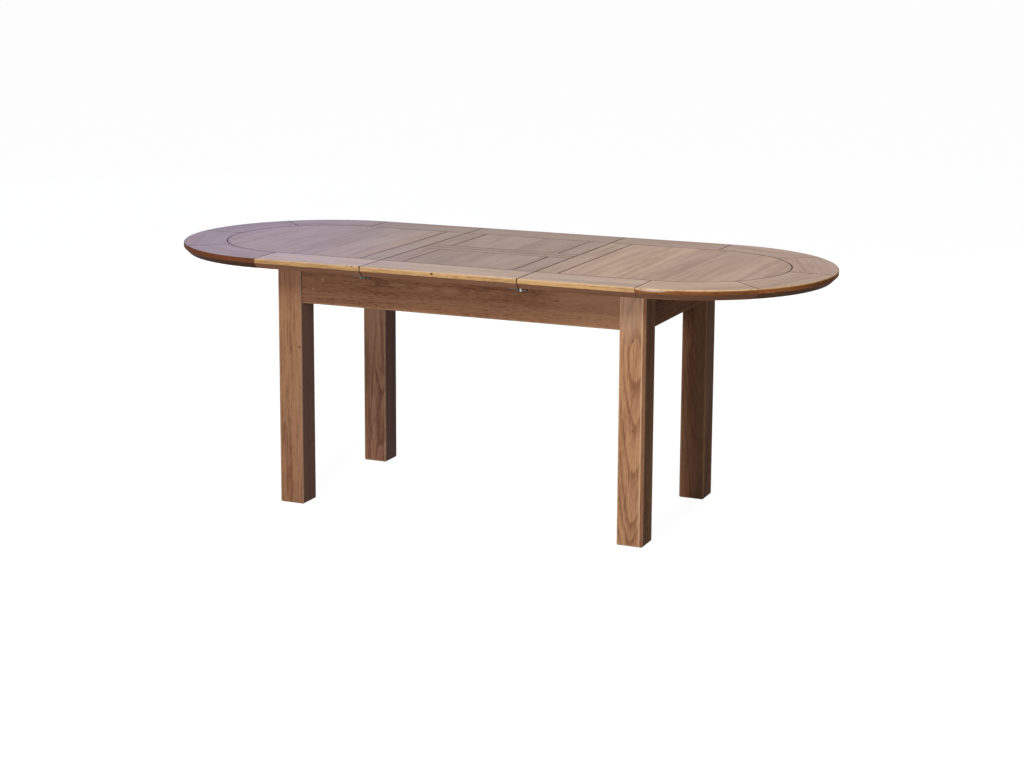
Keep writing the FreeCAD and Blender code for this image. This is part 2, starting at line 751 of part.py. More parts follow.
def build_base():
    """Legs, aprons, corner blocks, stow well and slide tracks."""
    corners = (
        ("back_right", LEG_X, LEG_Y, 0),
        ("back_left", f"-{LEG_X}", LEG_Y, 90),
        ("front_left", f"-{LEG_X}", f"-{LEG_Y}", 180),
        ("front_right", LEG_X, f"-{LEG_Y}", 270),
    )
    for name, x, y, turn in corners:
        leg(f"{name}_leg", x, y, turn)
    long_way = "Sizes.leg_span_long - 2 * Sizes.leg_size"
    short_way = "Sizes.leg_span_wide - 2 * Sizes.leg_size"
    centre = "(Sizes.apron_inset + Sizes.apron_thickness / 2)"
    apron_y = f"(Sizes.leg_span_wide / 2 - {centre})"
    apron_x = f"(Sizes.leg_span_long / 2 - {centre})"
    apron("front_apron", long_way, "0", f"-{apron_y}", 180)
    apron("back_apron", long_way, "0", apron_y, 0)
    apron("left_apron", short_way, f"-{apron_x}", "0", 90)
    apron("right_apron", short_way, apron_x, "0", 270)
    cross_x = f"({CROSS_INSIDE} + Sizes.cross_rail_thickness / 2)"
    cross_rail("left_cross_rail", f"-{cross_x}")
    cross_rail("right_cross_rail", cross_x)
    group("stow_slats", [slat(f"{side}_slat", f"{sign}Sizes.slat_offset") for side, sign in SIDES])
    group("corner_blocks", [corner_block(f"{name}_block", x, y, turn) for name, x, y, turn in corners])
    group("corner_bolts", [corner_bolt(f"{name}_bolt", x, y, turn) for name, x, y, turn in corners])
    group("slide_tracks", [track(f"{side}_track", turn) for side, turn in TURNS])


def build_half_top(end, sign, turn):
    """One sliding half of the top: its boards, runners and leaf supports."""
    straight = f"({ARC_CENTRE} - {HALF_START})"
    middle = f"{sign}({ARC_CENTRE} + {HALF_START}) / 2"
    for side, side_turn in TURNS:
        edge_rail(f"{end}_{side}_rail", straight, middle, side_turn)
    stile(f"{end}_seam_stile", f"(2 * {RAIL_INSIDE})", f"{sign}{HALF_START}", "0", turn)
    half_panel(f"{end}_panel", turn)
    names = RING_NAMES if turn == 0 else RING_NAMES[::-1]
    for step, name in enumerate(names):
        ring_segment(f"{end}_{name}", f"{sign}{ARC_CENTRE}", turn - 90 + step * RING_ANGLE)
    runner_x = f"{sign}({RUNNER_END} - Sizes.runner_length / 2)"
    group(f"{end}_runners", [runner(f"{end}_{side}_runner", runner_x, way) for side, way in TURNS])
    plates = [
        support_plate(f"{end}_{side}_support", f"{sign}{SEAM}", f"{side_sign}Sizes.support_offset", turn)
        for side, side_sign in SIDES
    ]
    group(f"{end}_leaf_supports", plates)


def build_leaf_half(side, turn):
    """One half of the folding leaf and its hinge barrels."""
    name = f"leaf_{side}"
    sign = "" if turn == 0 else "-"
    edge_rail(f"{name}_outer_rail", f"(2 * {LEAF_END})", "0", turn)
    fold_rail(f"{name}_fold_rail", turn)
    length = f"({RAIL_INSIDE} - Sizes.fold_rail_width)"
    middle = f"{sign}({RAIL_INSIDE} + Sizes.fold_rail_width) / 2"
    stile(f"{name}_left_stile", length, f"-{LEAF_END}", middle, 0)
    stile(f"{name}_right_stile", length, LEAF_END, middle, 180)
    leaf_panel(f"{name}_panel", turn)
    cups = [
        hinge_cup(f"{name}_{end}_hinge", f"{end_sign}Sizes.hinge_spacing / 2", turn)
        for end, end_sign, _ in ENDS
    ]
    group(f"{name}_hinges", cups)


def build_catches():
    """The four seam catches: housings, keepers, bolts and knobs."""
    left = f"-{SEAM}"
    places = {side: f"{sign}{CATCH_Y}" for side, sign in SIDES}
    group("left_catch_keepers", [catch_keeper(f"left_{side}_keeper", left, y) for side, y in places.items()])
    group("right_catch_bodies", [catch_body(f"right_{side}_catch", SEAM, y) for side, y in places.items()])
    for side, y in places.items():
        keep(catch_body(f"leaf_{side}_catch_body", left, y))
        keep(catch_keeper(f"leaf_{side}_catch_keeper", SEAM, y))
        for end, sign, _ in ENDS:
            catch_bolt(f"{end}_{side}_catch_bolt", f"{sign}{SEAM}", y)
            catch_knob(f"{end}_{side}_catch_knob", f"{sign}{SEAM}", y)


def write_pieces():
    """Checks every feature and piece, then writes one file for each piece."""
    doc.recompute()
    for item in doc.Objects:
        if {"Invalid", "Error"} & set(item.State):
            raise ValueError(f"{item.Label}: {item.State}")
    for piece in pieces:
        if piece.Shape.isNull() or not piece.Shape.isValid() or not piece.Shape.Solids:
            raise ValueError(f"{piece.Label}: no sound solid")
    os.makedirs("parts", exist_ok=True)
    for piece in pieces:
        piece.Shape.exportStep(f"parts/{piece.Label}.step")
    print(len(pieces), "pieces written")


# Front and back by the sign of Y and by the turn of a part drawn at the back
SIDES = (("front", "-"), ("back", ""))
TURNS = (("front", 180), ("back", 0))
# Ends by the sign of X and by the turn of a part drawn at the right
ENDS = (("left", "-", 180), ("right", "", 0))

build_base()
for end_name, end_sign, end_turn in ENDS:
    build_half_top(end_name, end_sign, end_turn)
for side_name, side_turn in TURNS:
    build_leaf_half(side_name, side_turn)
build_catches()
write_pieces()
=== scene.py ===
"""Finishes, small fasteners and studio for an oval extending oak table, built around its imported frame."""
import logging
import math
from dataclasses import dataclass, field, replace
from enum import Enum

import bpy
from mathutils import Euler, Matrix, Vector


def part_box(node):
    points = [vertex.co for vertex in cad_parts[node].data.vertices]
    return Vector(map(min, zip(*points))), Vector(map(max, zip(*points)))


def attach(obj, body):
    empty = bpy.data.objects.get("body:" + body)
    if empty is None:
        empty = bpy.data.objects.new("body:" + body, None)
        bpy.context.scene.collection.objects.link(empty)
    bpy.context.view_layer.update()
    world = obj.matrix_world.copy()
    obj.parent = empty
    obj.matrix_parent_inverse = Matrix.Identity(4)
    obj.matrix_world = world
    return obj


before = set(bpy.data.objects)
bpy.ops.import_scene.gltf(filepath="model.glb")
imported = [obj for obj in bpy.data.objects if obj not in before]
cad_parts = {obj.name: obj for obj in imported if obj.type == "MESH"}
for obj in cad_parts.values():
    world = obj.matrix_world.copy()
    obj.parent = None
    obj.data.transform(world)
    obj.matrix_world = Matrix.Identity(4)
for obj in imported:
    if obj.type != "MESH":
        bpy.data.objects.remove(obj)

LOG = logging.getLogger("table")
NEUTRAL = (1.0, 1.0, 1.0)
DOWN = Vector((0.0, 0.0, -1.0))

Triple = tuple[float, float, float]
Colour = Triple
Socket = bpy.types.NodeSocket
Feed = Socket | float | tuple[float, ...] | Vector | Euler
Feeds = dict[str | int, Feed]
Looks = dict[str, object]


class Grain(Enum):
    """Way that a board's fibres run, as the turn that lays the X axis along them."""

    LENGTH = (0.0, 0.0, 0.0)
    WIDTH = (0.0, 0.0, math.pi / 2)
    UPRIGHT = (0.0, -math.pi / 2, 0.0)


class Worn(Enum):
    """Edges of a board where the lacquer is rubbed thin and a highlight is painted along the arris."""

    NOWHERE = "nowhere"
    ALL_EDGES = "all edges"
    UPPER_EDGE = "upper edge"


class Zone(Enum):
    """Part of a top board that has a finish of its own, with its place among the board's materials."""

    FACE = 0
    EDGE = 1
    BEVEL = 2
    GROOVE = 3


class Way(Enum):
    """Direction that names pieces, with its sign."""

    @property
    def word(self) -> str:
        """Name of the direction as the nodes spell it."""
        return self.name.lower()


class End(Way):
    """End of the table along X."""

    LEFT = -1
    RIGHT = 1


class Side(Way):
    """Long side of the table along Y."""

    FRONT = -1
    BACK = 1


@dataclass(frozen=True)
class Cloud:
    """Cloudy pattern: its features in a metre along each axis, and how many finer layers it has."""

    stretch: Triple
    detail: float


class Graph:
    """Node tree that grows by short calls."""

    mix_inputs = (0, 6, 7)
    mix_result = 2
    cloud_feeds = {"Scale": 1.0, "Roughness": 0.58}
    cloud_mean = 0.5

    def __init__(self, tree: bpy.types.NodeTree) -> None:
        """Keeps the tree that the calls add to."""
        self.tree = tree

    def feed(self, socket: Socket, value: Feed) -> None:
        """Feeds an input.

        Args:
            socket: Input to feed.
            value: Socket to link it to, or a plain value.
        """
        if isinstance(value, Socket):
            self.tree.links.new(value, socket)
        else:
            socket.default_value = value

    def node(self, kind: str, feeds: Feeds | None = None, **settings: object) -> bpy.types.Node:
        """Adds a node.

        Args:
            kind: Type of the node without its ShaderNode prefix.
            feeds: Inputs by name or place, with the socket or value of each.
            settings: Properties of the node.

        Returns:
            The new node.
        """
        made = self.tree.nodes.new("ShaderNode" + kind)
        for name, value in settings.items():
            setattr(made, name, value)
        for place, value in (feeds or {}).items():
            self.feed(made.inputs[place], value)
        return made

    def math(self, operation: str, *terms: Feed) -> Socket:
        """Works out a number from one, two or three others."""
        return self.node("Math", dict(enumerate(terms)), operation=operation).outputs[0]

    def scaled(self, value: Feed, share: Feed, base: Feed) -> Socket:
        """Returns a number times a share, on top of a base."""
        return self.math("MULTIPLY_ADD", value, share, base)

    def vector(self, operation: str, *terms: Feed) -> Socket:
        """Works out a vector, or a length, from vectors."""
        made = self.node("VectorMath", dict(enumerate(terms)), operation=operation)
        return made.outputs["Value" if operation == "LENGTH" else "Vector"]

    def times(self, vector: Feed, scale: Feed) -> Socket:
        """Returns a vector times a number."""
        return self.node("VectorMath", {0: vector, "Scale": scale}, operation="SCALE").outputs[0]

    def split(self, vector: Feed) -> list[Socket]:
        """Returns the three parts of a vector."""
        return list(self.node("SeparateXYZ", {0: vector}).outputs)

    def join(self, x: Feed, y: Feed, z: Feed) -> Socket:
        """Returns a vector made of three parts."""
        return self.node("CombineXYZ", {0: x, 1: y, 2: z}).outputs[0]

    def ramp(self, value: Feed, start: Feed, end: Feed, low: float = 0.0, high: float = 1.0) -> Socket:
        """Carries a value smoothly from low, up to the start, to high, from the end on."""
        feeds = {"Value": value, "From Min": start, "From Max": end, "To Min": low, "To Max": high}
        return self.node("MapRange", feeds, interpolation_type="SMOOTHSTEP").outputs[0]

    def mix(self, share: Feed, under: Feed, over: Feed) -> Socket:
        """Lays a share of one colour over another."""
        feeds = dict(zip(self.mix_inputs, (share, under, over)))
        return self.node("Mix", feeds, data_type="RGBA").outputs[self.mix_result]

    def noise(self, place: Feed, cloud: Cloud) -> Socket:
        """Returns a cloudy pattern, from 0 to 1."""
        feeds = {"Vector": self.vector("MULTIPLY", place, cloud.stretch), "Detail": cloud.detail}
        return self.node("TexNoise", {**self.cloud_feeds, **feeds}).outputs[0]

    def swing(self, place: Feed, cloud: Cloud) -> Socket:
        """Returns a cloudy pattern that swings about zero."""
        return self.math("SUBTRACT", self.noise(place, cloud), self.cloud_mean)


class Effect:
    """Surface effect kept as one node group and placed in each material that shows it."""

    title = ""
    inputs: dict[str, object] = {}
    outputs: tuple[str, ...] = ("Mask",)

    def __init__(self) -> None:
        """Builds the group."""
        self.tree = bpy.data.node_groups.new(self.title, "ShaderNodeTree")
        for name, value in self.inputs.items():
            self.open_socket(name, "INPUT", value)
        for name in self.outputs:
            self.open_socket(name, "OUTPUT", (0.0, 0.0, 0.0, 1.0) if name == "Color" else 0.0)
        self.graph = Graph(self.tree)
        self.given = self.tree.nodes.new("NodeGroupInput").outputs
        self.wanted = self.tree.nodes.new("NodeGroupOutput").inputs
        self.wire()

    def open_socket(self, name: str, way: str, value: object) -> None:
        """Adds a named socket whose kind follows from its value.

        Args:
            name: Name of the socket.
            way: INPUT or OUTPUT.
            value: Number, vector of three or colour of four.
        """
        kinds = {3: "NodeSocketVector", 4: "NodeSocketColor"}
        kind = kinds[len(value)] if isinstance(value, tuple) else "NodeSocketFloat"
        self.tree.interface.new_socket(name, in_out=way, socket_type=kind).default_value = value

    def wire(self) -> None:
        """Wires the group from its inputs to its outputs."""
        raise NotImplementedError

    def give(self, name: str, value: Socket) -> None:
        """Puts a value out of the group."""
        self.graph.feed(self.wanted[name], value)

    def place(self, graph: Graph, feeds: Feeds) -> bpy.types.NodeOutputs:
        """Places the group in a material's graph and returns its outputs there."""
        return graph.node("Group", feeds, node_tree=self.tree).outputs


class OakFigure(Effect):
    """Growth rings, fibres, pores and tone of oak.

    The fibres run along X. Boards that are narrower than the piece lie side by side along Y, and each
    has a pith line of its own.
    """

    title = "Oak figure"
    inputs = {
        "Vector": (0.0, 0.0, 0.0),
        "Seed": 1.0,
        "Board Width": 1.0,
        "Unevenness": 0.0,
        "Pith": (0.0, 0.0, -0.09),
        "Slope": (0.0, 0.0, 0.04),
        "Crest": 0.0,
        "Ring": 0.005,
        "Wander": 0.03,
        "Figure": 0.6,
        "Streak": 0.5,
        "Fibre": 1.0,
        "Fleck": 0.4,
        "Mottle": 0.9,
        "Variety": 0.2,
        "Pale": (0.5, 0.3, 0.15, 1.0),
        "Deep": (0.3, 0.15, 0.07, 1.0),
        "Roughness": 0.4,
    }
    outputs = ("Color", "Roughness", "Height")
    across = (0.0, 1.0, 1.0)
    seed_step = 7.0
    seed_shift = (3.3, 1.9, 0.7)
    chance_mean = (0.5, 0.5, 0.5)
    board_shift = (9.0, 5.0, 3.0)
    pith_spread = (0.0, 0.5, 0.5)
    crest_round = 0.08
    wander = Cloud((1.6, 8.0, 8.0), 2.0)
    ripples = Cloud((13.0, 60.0, 60.0), 2.0)
    ripple_depth = 0.0013
    uneven_rings = {"Scale": 55.0, "Detail": 1.0}
    uneven_share = 2.0
    early_wood = 0.14
    late_wood = 2.6
    fibres = Cloud((9.0, 210.0, 210.0), 3.0)
    fibre_height = 0.5
    flecks = Cloud((45.0, 330.0, 330.0), 2.0)
    pores = Cloud((40.0, 1500.0, 1500.0), 1.0)
    pore_bounds = (0.55, 0.72)
    pore_share = 0.7
    least_pores = 0.3
    pore_shade = -0.35
    pore_roughness = 0.16
    streaks = Cloud((1.7, 55.0, 55.0), 4.0)
    patches = Cloud((3.5, 15.0, 15.0), 4.0)
    patch_roughness = 0.14
    ring_tone = 0.9
    ground_tone = 0.25
    streak_tone = 2.0
    tone_bounds = (-0.1, 1.1)
    level_share = 2.0
    hue_share = 0.3

    def wire(self) -> None:
        """Wires rings, fibres, flecks, pores, streaks and clouds into a colour, a roughness and a height."""
        graph, given = self.graph, self.given
        place, chance, middle = self.lay_boards()
        phase = self.ring_phase(place, chance, middle)
        late = graph.math("POWER", graph.math("SUBTRACT", 1.0, phase), self.late_wood)
        ring = graph.math("MULTIPLY", graph.ramp(phase, 0.0, self.early_wood), late)
        clouds = (self.fibres, self.flecks, self.patches, self.streaks)
        fibre, fleck, patch, streak = (graph.swing(place, cloud) for cloud in clouds)
        pit = graph.ramp(graph.noise(place, self.pores), *self.pore_bounds)
        pore = graph.math("MULTIPLY", pit, graph.scaled(ring, self.pore_share, self.least_pores))

        tone = graph.scaled(graph.math("MULTIPLY", ring, given["Figure"]), self.ring_tone, self.ground_tone)
        for name, part in (("Fibre", fibre), ("Fleck", fleck), ("Mottle", patch)):
            tone = graph.scaled(part, given[name], tone)
        tone = graph.scaled(graph.math("MULTIPLY", streak, given["Streak"]), self.streak_tone, tone)
        colour = graph.mix(graph.ramp(tone, *self.tone_bounds), given["Pale"], given["Deep"])
        hue, shade = graph.split(graph.times(chance, given["Variety"]))[1:]
        warm, cool = (graph.scaled(hue, share, 1.0) for share in (self.hue_share, -self.hue_share))
        tinted = graph.vector("MULTIPLY", colour, graph.join(warm, 1.0, cool))
        level = graph.scaled(pore, self.pore_shade, graph.scaled(shade, self.level_share, 1.0))
        self.give("Color", graph.times(tinted, level))

        rough = graph.scaled(pore, self.pore_roughness, given["Roughness"])
        self.give("Roughness", graph.scaled(patch, self.patch_roughness, rough))
        self.give("Height", graph.math("SUBTRACT", graph.math("MULTIPLY", fibre, self.fibre_height), pore))

    def lay_boards(self) -> tuple[Socket, Socket, Socket]:
        """Lays boards side by side along Y.

        Returns:
            The point with its board's own shift, for the patterns, three numbers from -0.5 to 0.5 that set
            the board apart from the others, and where the board's middle lies along Y.
        """
        graph, given = self.graph, self.given
        shift = graph.math("MULTIPLY", given["Seed"], self.seed_step)
        across = graph.math("DIVIDE", graph.split(given["Vector"])[1], given["Board Width"])
        feeds = {"W": graph.math("ADD", across, shift), "Scale": 1.0, "Randomness": given["Unevenness"]}
        boards = graph.node("TexVoronoi", feeds, voronoi_dimensions="1D").outputs
        chance = graph.vector("SUBTRACT", boards["Color"], self.chance_mean)
        middle = graph.math("MULTIPLY", graph.math("SUBTRACT", boards["W"], shift), given["Board Width"])
        shifted = graph.vector("MULTIPLY_ADD", chance, self.board_shift, given["Vector"])
        place = graph.vector("ADD", shifted, graph.times(self.seed_shift, given["Seed"]))
        return place, chance, middle

    def ring_phase(self, place: Socket, chance: Socket, middle: Socket) -> Socket:
        """Measures how far each point lies through its growth ring.

        Args:
            place: Point with the board's own shift, for the patterns.
            chance: Three numbers that set the board apart from the others.
            middle: Where the board's middle lies along Y.

        Returns:
            Share of the ring, from 0 at its inner edge to 1 at its outer edge.
        """
        graph, given = self.graph, self.given
        drift = graph.times(graph.noise(place, self.wander).node.outputs["Color"], given["Wander"])
        bend = graph.vector("MULTIPLY_ADD", drift, self.across, given["Vector"])
        along = graph.split(given["Vector"])[0]
        rounded = graph.math("SQRT", graph.scaled(along, along, self.crest_round**2))
        reach = graph.scaled(graph.math("SUBTRACT", rounded, along), given["Crest"], along)
        nearness = graph.vector("MULTIPLY_ADD", chance, self.pith_spread, NEUTRAL)
        pith = graph.vector("MULTIPLY_ADD", given["Pith"], nearness, graph.times(given["Slope"], reach))
        pith = graph.vector("ADD", pith, graph.join(0.0, middle, 0.0))
        radial = graph.vector("MULTIPLY", graph.vector("SUBTRACT", bend, pith), self.across)
        ripple = graph.noise(place, self.ripples)
        radius = graph.scaled(ripple, self.ripple_depth, graph.vector("LENGTH", radial))
        uneven = graph.node("TexNoise", {"W": radius, **self.uneven_rings}, noise_dimensions="1D").outputs[0]
        turns = graph.math("DIVIDE", radius, given["Ring"])
        return graph.math("FRACT", graph.scaled(uneven, self.uneven_share, turns))


class EasedEdge(Effect):
    """Lacquer rubbed thin along the straight edges of a squared board, with a painted highlight on the
    arrises as well.
    """

    title = "Eased edge"
    inputs = {
        "Vector": (0.0, 0.0, 0.0),
        "Middle": (0.0, 0.0, 0.0),
        "Half Size": (0.1, 0.1, 0.1),
        "Width": 0.004,
    }
    patches = Cloud((60.0, 60.0, 60.0), 3.0)
    patch_bounds = (0.3, 0.65)
    least_rub_and_highlight = 0.45

    def wire(self) -> None:
        """Wires the distance from the nearest edge, broken up by patches, into a mask."""
        graph, given = self.graph, self.given
        offset = graph.vector("ABSOLUTE", graph.vector("SUBTRACT", given["Vector"], given["Middle"]))
        x, y, z = graph.split(graph.vector("SUBTRACT", given["Half Size"], offset))
        farther = graph.math("MINIMUM", graph.math("MAXIMUM", x, y), z)
        second = graph.math("MAXIMUM", graph.math("MINIMUM", x, y), farther)
        line = graph.ramp(second, 0.0, given["Width"], 1.0, 0.0)
        patch = graph.ramp(graph.noise(given["Vector"], self.patches), *self.patch_bounds, self.least_rub_and_highlight)
        self.give("Mask", graph.math("MULTIPLY", line, patch))


class Spot(Effect):
    """Ragged spot at a point of a board."""

    title = "Spot"
    inputs = {"Vector": (0.0, 0.0, 0.0), "Centre": (0.0, 0.0, 0.0), "Radii": (0.004, 0.004, 0.004)}
    rags = Cloud((300.0, 300.0, 300.0), 2.0)
    raggedness = 0.8
    fade = (0.45, 1.25)

    def wire(self) -> None:
        """Wires the ragged distance from the spot's centre into a mask."""
        graph, given = self.graph, self.given
        offset = graph.vector("SUBTRACT", given["Vector"], given["Centre"])
        reach = graph.vector("LENGTH", graph.vector("DIVIDE", offset, given["Radii"]))
        ragged = graph.scaled(graph.swing(given["Vector"], self.rags), self.raggedness, reach)
        self.give("Mask", graph.ramp(ragged, *self.fade, 1.0, 0.0))


class EndStainAndShade(Effect):
    """Dark line on a straight board along its two ends or sides in X, whose own faces stay clean: stain in
    the top's joints, painted shade in the gap where an apron meets a leg.
    """

    title = "End stain and shade"
    inputs = {"Vector": (0.0, 0.0, 0.0), "Middle": 0.0, "Half Length": 0.1, "Width": 0.0016}
    full_share = 0.45
    clean = 0.00015

    def wire(self) -> None:
        """Wires the distance from the nearer end along X into a mask."""
        graph, given = self.graph, self.given
        along = graph.math("SUBTRACT", graph.split(given["Vector"])[0], given["Middle"])
        left = graph.math("SUBTRACT", given["Half Length"], graph.math("ABSOLUTE", along))
        full = graph.math("MULTIPLY", given["Width"], self.full_share)
        line = graph.ramp(left, full, given["Width"], 1.0, 0.0)
        self.give("Mask", graph.math("MULTIPLY", line, graph.ramp(left, 0.0, self.clean)))


class Brushing(Effect):
    """Fine drawn lines and dull patches on metal and moulded plastic."""

    title = "Brushing"
    inputs = {"Vector": (0.0, 0.0, 0.0), "Stretch": (60.0, 2500.0, 2500.0), "Roughness": 0.35, "Depth": 0.2}
    outputs = ("Roughness", "Shade", "Height")
    lines = {"Scale": 1.0, "Detail": 2.0}
    patches = Cloud((40.0, 40.0, 40.0), 4.0)
    patch_bounds = (0.25, 0.75)
    mean = 1.0

    def wire(self) -> None:
        """Wires lines and patches into a roughness, a shade and a height."""
        graph, given = self.graph, self.given
        drawn = graph.vector("MULTIPLY", given["Vector"], given["Stretch"])
        line = graph.node("TexNoise", {"Vector": drawn, **self.lines}).outputs[0]
        patch = graph.noise(given["Vector"], self.patches)
        both = graph.math("SUBTRACT", graph.math("ADD", line, patch), self.mean)
        self.give("Roughness", graph.scaled(both, given["Depth"], given["Roughness"]))
        self.give("Shade", graph.ramp(patch, *self.patch_bounds))
        self.give("Height", line)


OAK_FIGURE = OakFigure()
EASED_EDGE = EasedEdge()
SPOT = Spot()
END_STAIN_AND_SHADE = EndStainAndShade()
BRUSHING = Brushing()


def opaque(colour: Colour, level: float = 1.0, tint: Colour = NEUTRAL) -> tuple[float, ...]:
    """Returns a colour with full alpha, brightened or darkened by a level and tinted."""
    return (*(part * level * share for part, share in zip(colour, tint)), 1.0)


class Coat:
    """Material with one Principled shader, to be fed."""

    def __init__(self, name: str) -> None:
        """Makes the material, its shader and its output.

        Args:
            name: Name of the material.
        """
        self.material = bpy.data.materials.new(name)
        self.material.use_nodes = True
        self.material.node_tree.nodes.clear()
        self.graph = Graph(self.material.node_tree)
        self.shader = self.graph.node("BsdfPrincipled")
        self.output = self.graph.node("OutputMaterial", {"Surface": self.shader.outputs[0]})

    def feed(self, name: str, value: Feed) -> None:
        """Feeds an input of the shader."""
        self.graph.feed(self.shader.inputs[name], value)

    def lay(self, colour: Socket, surface: bpy.types.NodeOutputs, bump: float, depth: float) -> None:
        """Lays a colour, with the roughness and the height that an effect puts out.

        Args:
            colour: Colour of the surface.
            surface: Outputs of the effect.
            bump: Strength of the relief that the height makes.
            depth: Depth of the relief in metres.
        """
        feeds = {"Strength": bump, "Distance": depth, "Height": surface["Height"]}
        self.feed("Base Color", colour)
        self.feed("Roughness", surface["Roughness"])
        self.feed("Normal", self.graph.node("Bump", feeds).outputs[0])


def wear(piece: bpy.types.Object, *materials: bpy.types.Material) -> None:
    """Gives a piece materials in place of those that it has.

    Args:
        piece: Node or new piece.
        materials: Materials in the order of their places.
    """
    piece.data.materials.clear()
    for material in materials:
        piece.data.materials.append(material)


@dataclass(frozen=True)
class Mark:
    """Knot, pit, fleck or patch at a point of the table, some of them painted light or shade. One with no
    colour is a knot of its finish.
    """

    centre: Triple
    radii: Triple = (0.0035, 0.003, 0.005)
    colour: Colour | None = None
    strength: float = 1.0


@dataclass(frozen=True)
class Board:
    """How one oak piece was cut from its tree.

    The pith is the tree's middle, measured from the board's own middle across the fibres, and the slope
    is how far it leans in a metre. With a crest of 1 it leans away from the board's middle both ways.
    """

    node: str
    turn: Triple
    seed: int
    level: float = 1.0
    pith: tuple[float, float] = (0.0, -0.09)
    slope: tuple[float, float] = (0.0, 0.045)
    crest: float = 0.0
    strip: float = 2.0
    unevenness: float = 0.0
    variety: float = 0.0
    shift: Triple = (0.0, 0.0, 0.0)
    wander: float = 0.03
    figure: float = 0.6
    streak: float = 0.5
    fibre: float = 1.0
    fleck: float = 0.4
    mottle: float = 0.9
    tint: Colour = NEUTRAL
    ring_edge: bool = False
    # Tint of the edge, on the right half's tips also painted light, and how far the bevel is darkened as
    # painted shade.
    edge_tint: Colour = NEUTRAL
    bevel_level: float = 1.0
    worn: Worn = Worn.ALL_EDGES
    end_stain: float = 0.0
    marks: tuple[Mark, ...] = ()

    @property
    def middle(self) -> Vector:
        """Middle of the board."""
        low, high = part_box(self.node)
        return (low + high) / 2

    @property
    def half(self) -> Vector:
        """Half of the board's size along each axis."""
        low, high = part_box(self.node)
        return (high - low) / 2

    @property
    def worn_box(self) -> Vector:
        """Half of the box whose edges are rubbed and carry a painted highlight. Its upper and lower rims
        alone count where it has no X.
        """
        if self.worn is Worn.UPPER_EDGE:
            return Vector((0.0, 2 * self.half.length, self.half.z))
        return self.half

    @property
    def figure_feeds(self) -> Feeds:
        """Inputs of the oak figure that the board settles."""
        alike = ("unevenness", "crest", "wander", "figure", "streak", "fibre", "fleck", "mottle", "variety")
        return {
            **{name.capitalize(): getattr(self, name) for name in alike},
            "Seed": float(self.seed),
            "Board Width": self.strip,
            "Pith": (0.0, *self.pith),
            "Slope": (0.0, *self.slope),
        }


@dataclass(frozen=True)
class OakFinish:
    """Oak with a stain and a satin lacquer, or left planed. With no rub-and-highlight colour its edges aren't
    rubbed or given a painted highlight.
    """

    name: str
    pale: Colour
    deep: Colour
    worn: Colour | None = None
    ring: float = 0.0055
    roughness: float = 0.42
    specular: float = 0.5
    edge_width: float = 0.005
    bump: float = 0.12
    bump_depth: float = 0.001
    knot_colour: Colour = (0.06, 0.026, 0.013)
    # Colour of the dark end line: joint stain on the top, painted shade beside the legs on the aprons.
    stain: Colour = (0.05, 0.022, 0.011)

    def dress(self, board: Board) -> None:
        """Dresses a board's node in this finish."""
        wear(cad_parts[board.node], self.mix(board, board.level, board.tint))
        LOG.info("%s: %s, board %d", board.node, self.name, board.seed)

    def mix(self, board: Board, level: float, tint: Colour) -> bpy.types.Material:
        """Makes the finish for a board.

        Args:
            board: Board that it is for.
            level: How light the wood is.
            tint: How strong each of its three colours is.

        Returns:
            The material.
        """
        coat = Coat(f"{board.node}_{self.name}")
        graph = coat.graph
        place = graph.node("TexCoord").outputs["Object"]
        origin = board.middle + Vector(board.shift)
        feeds = {"Vector": place, "Location": origin, "Rotation": Euler(board.turn)}
        laid = graph.node("Mapping", feeds, vector_type="TEXTURE").outputs[0]
        tones = {"Pale": opaque(self.pale, level, tint), "Deep": opaque(self.deep, level, tint)}
        grain = {**board.figure_feeds, **tones, "Ring": self.ring, "Roughness": self.roughness}
        figure = OAK_FIGURE.place(graph, {"Vector": laid, **grain})
        colour = figure["Color"]
        for effect, feeds, strength, over in self.layers(board, level):
            mask = effect.place(graph, {"Vector": place, **feeds})["Mask"]
            colour = graph.mix(graph.math("MULTIPLY", mask, strength), colour, over)
        coat.lay(colour, figure, self.bump, self.bump_depth)
        coat.feed("Specular IOR Level", self.specular)
        return coat.material

    def layers(self, board: Board, level: float) -> list[tuple[Effect, Feeds, float, Feed]]:
        """Lists what lies over the grain: rubbed edges with a painted highlight, stained ends, painted shade
        on the apron ends, and marks, some of them painted light or shade.

        Args:
            board: Board that they are on.
            level: How light the wood is.

        Returns:
            The group, its inputs, the strength and the colour of each layer.
        """
        found = []
        if self.worn and board.worn is not Worn.NOWHERE:
            feeds = {"Middle": board.middle, "Half Size": board.worn_box, "Width": self.edge_width}
            found.append((EASED_EDGE, feeds, 1.0, opaque(self.worn, level)))
        if board.end_stain:
            feeds = {"Middle": board.middle.x, "Half Length": board.half.x, "Width": board.end_stain}
            found.append((END_STAIN_AND_SHADE, feeds, 1.0, opaque(self.stain)))
        for mark in board.marks:
            feeds = {"Centre": mark.centre, "Radii": mark.radii}
            found.append((SPOT, feeds, mark.strength, opaque(mark.colour or self.knot_colour)))
        return found


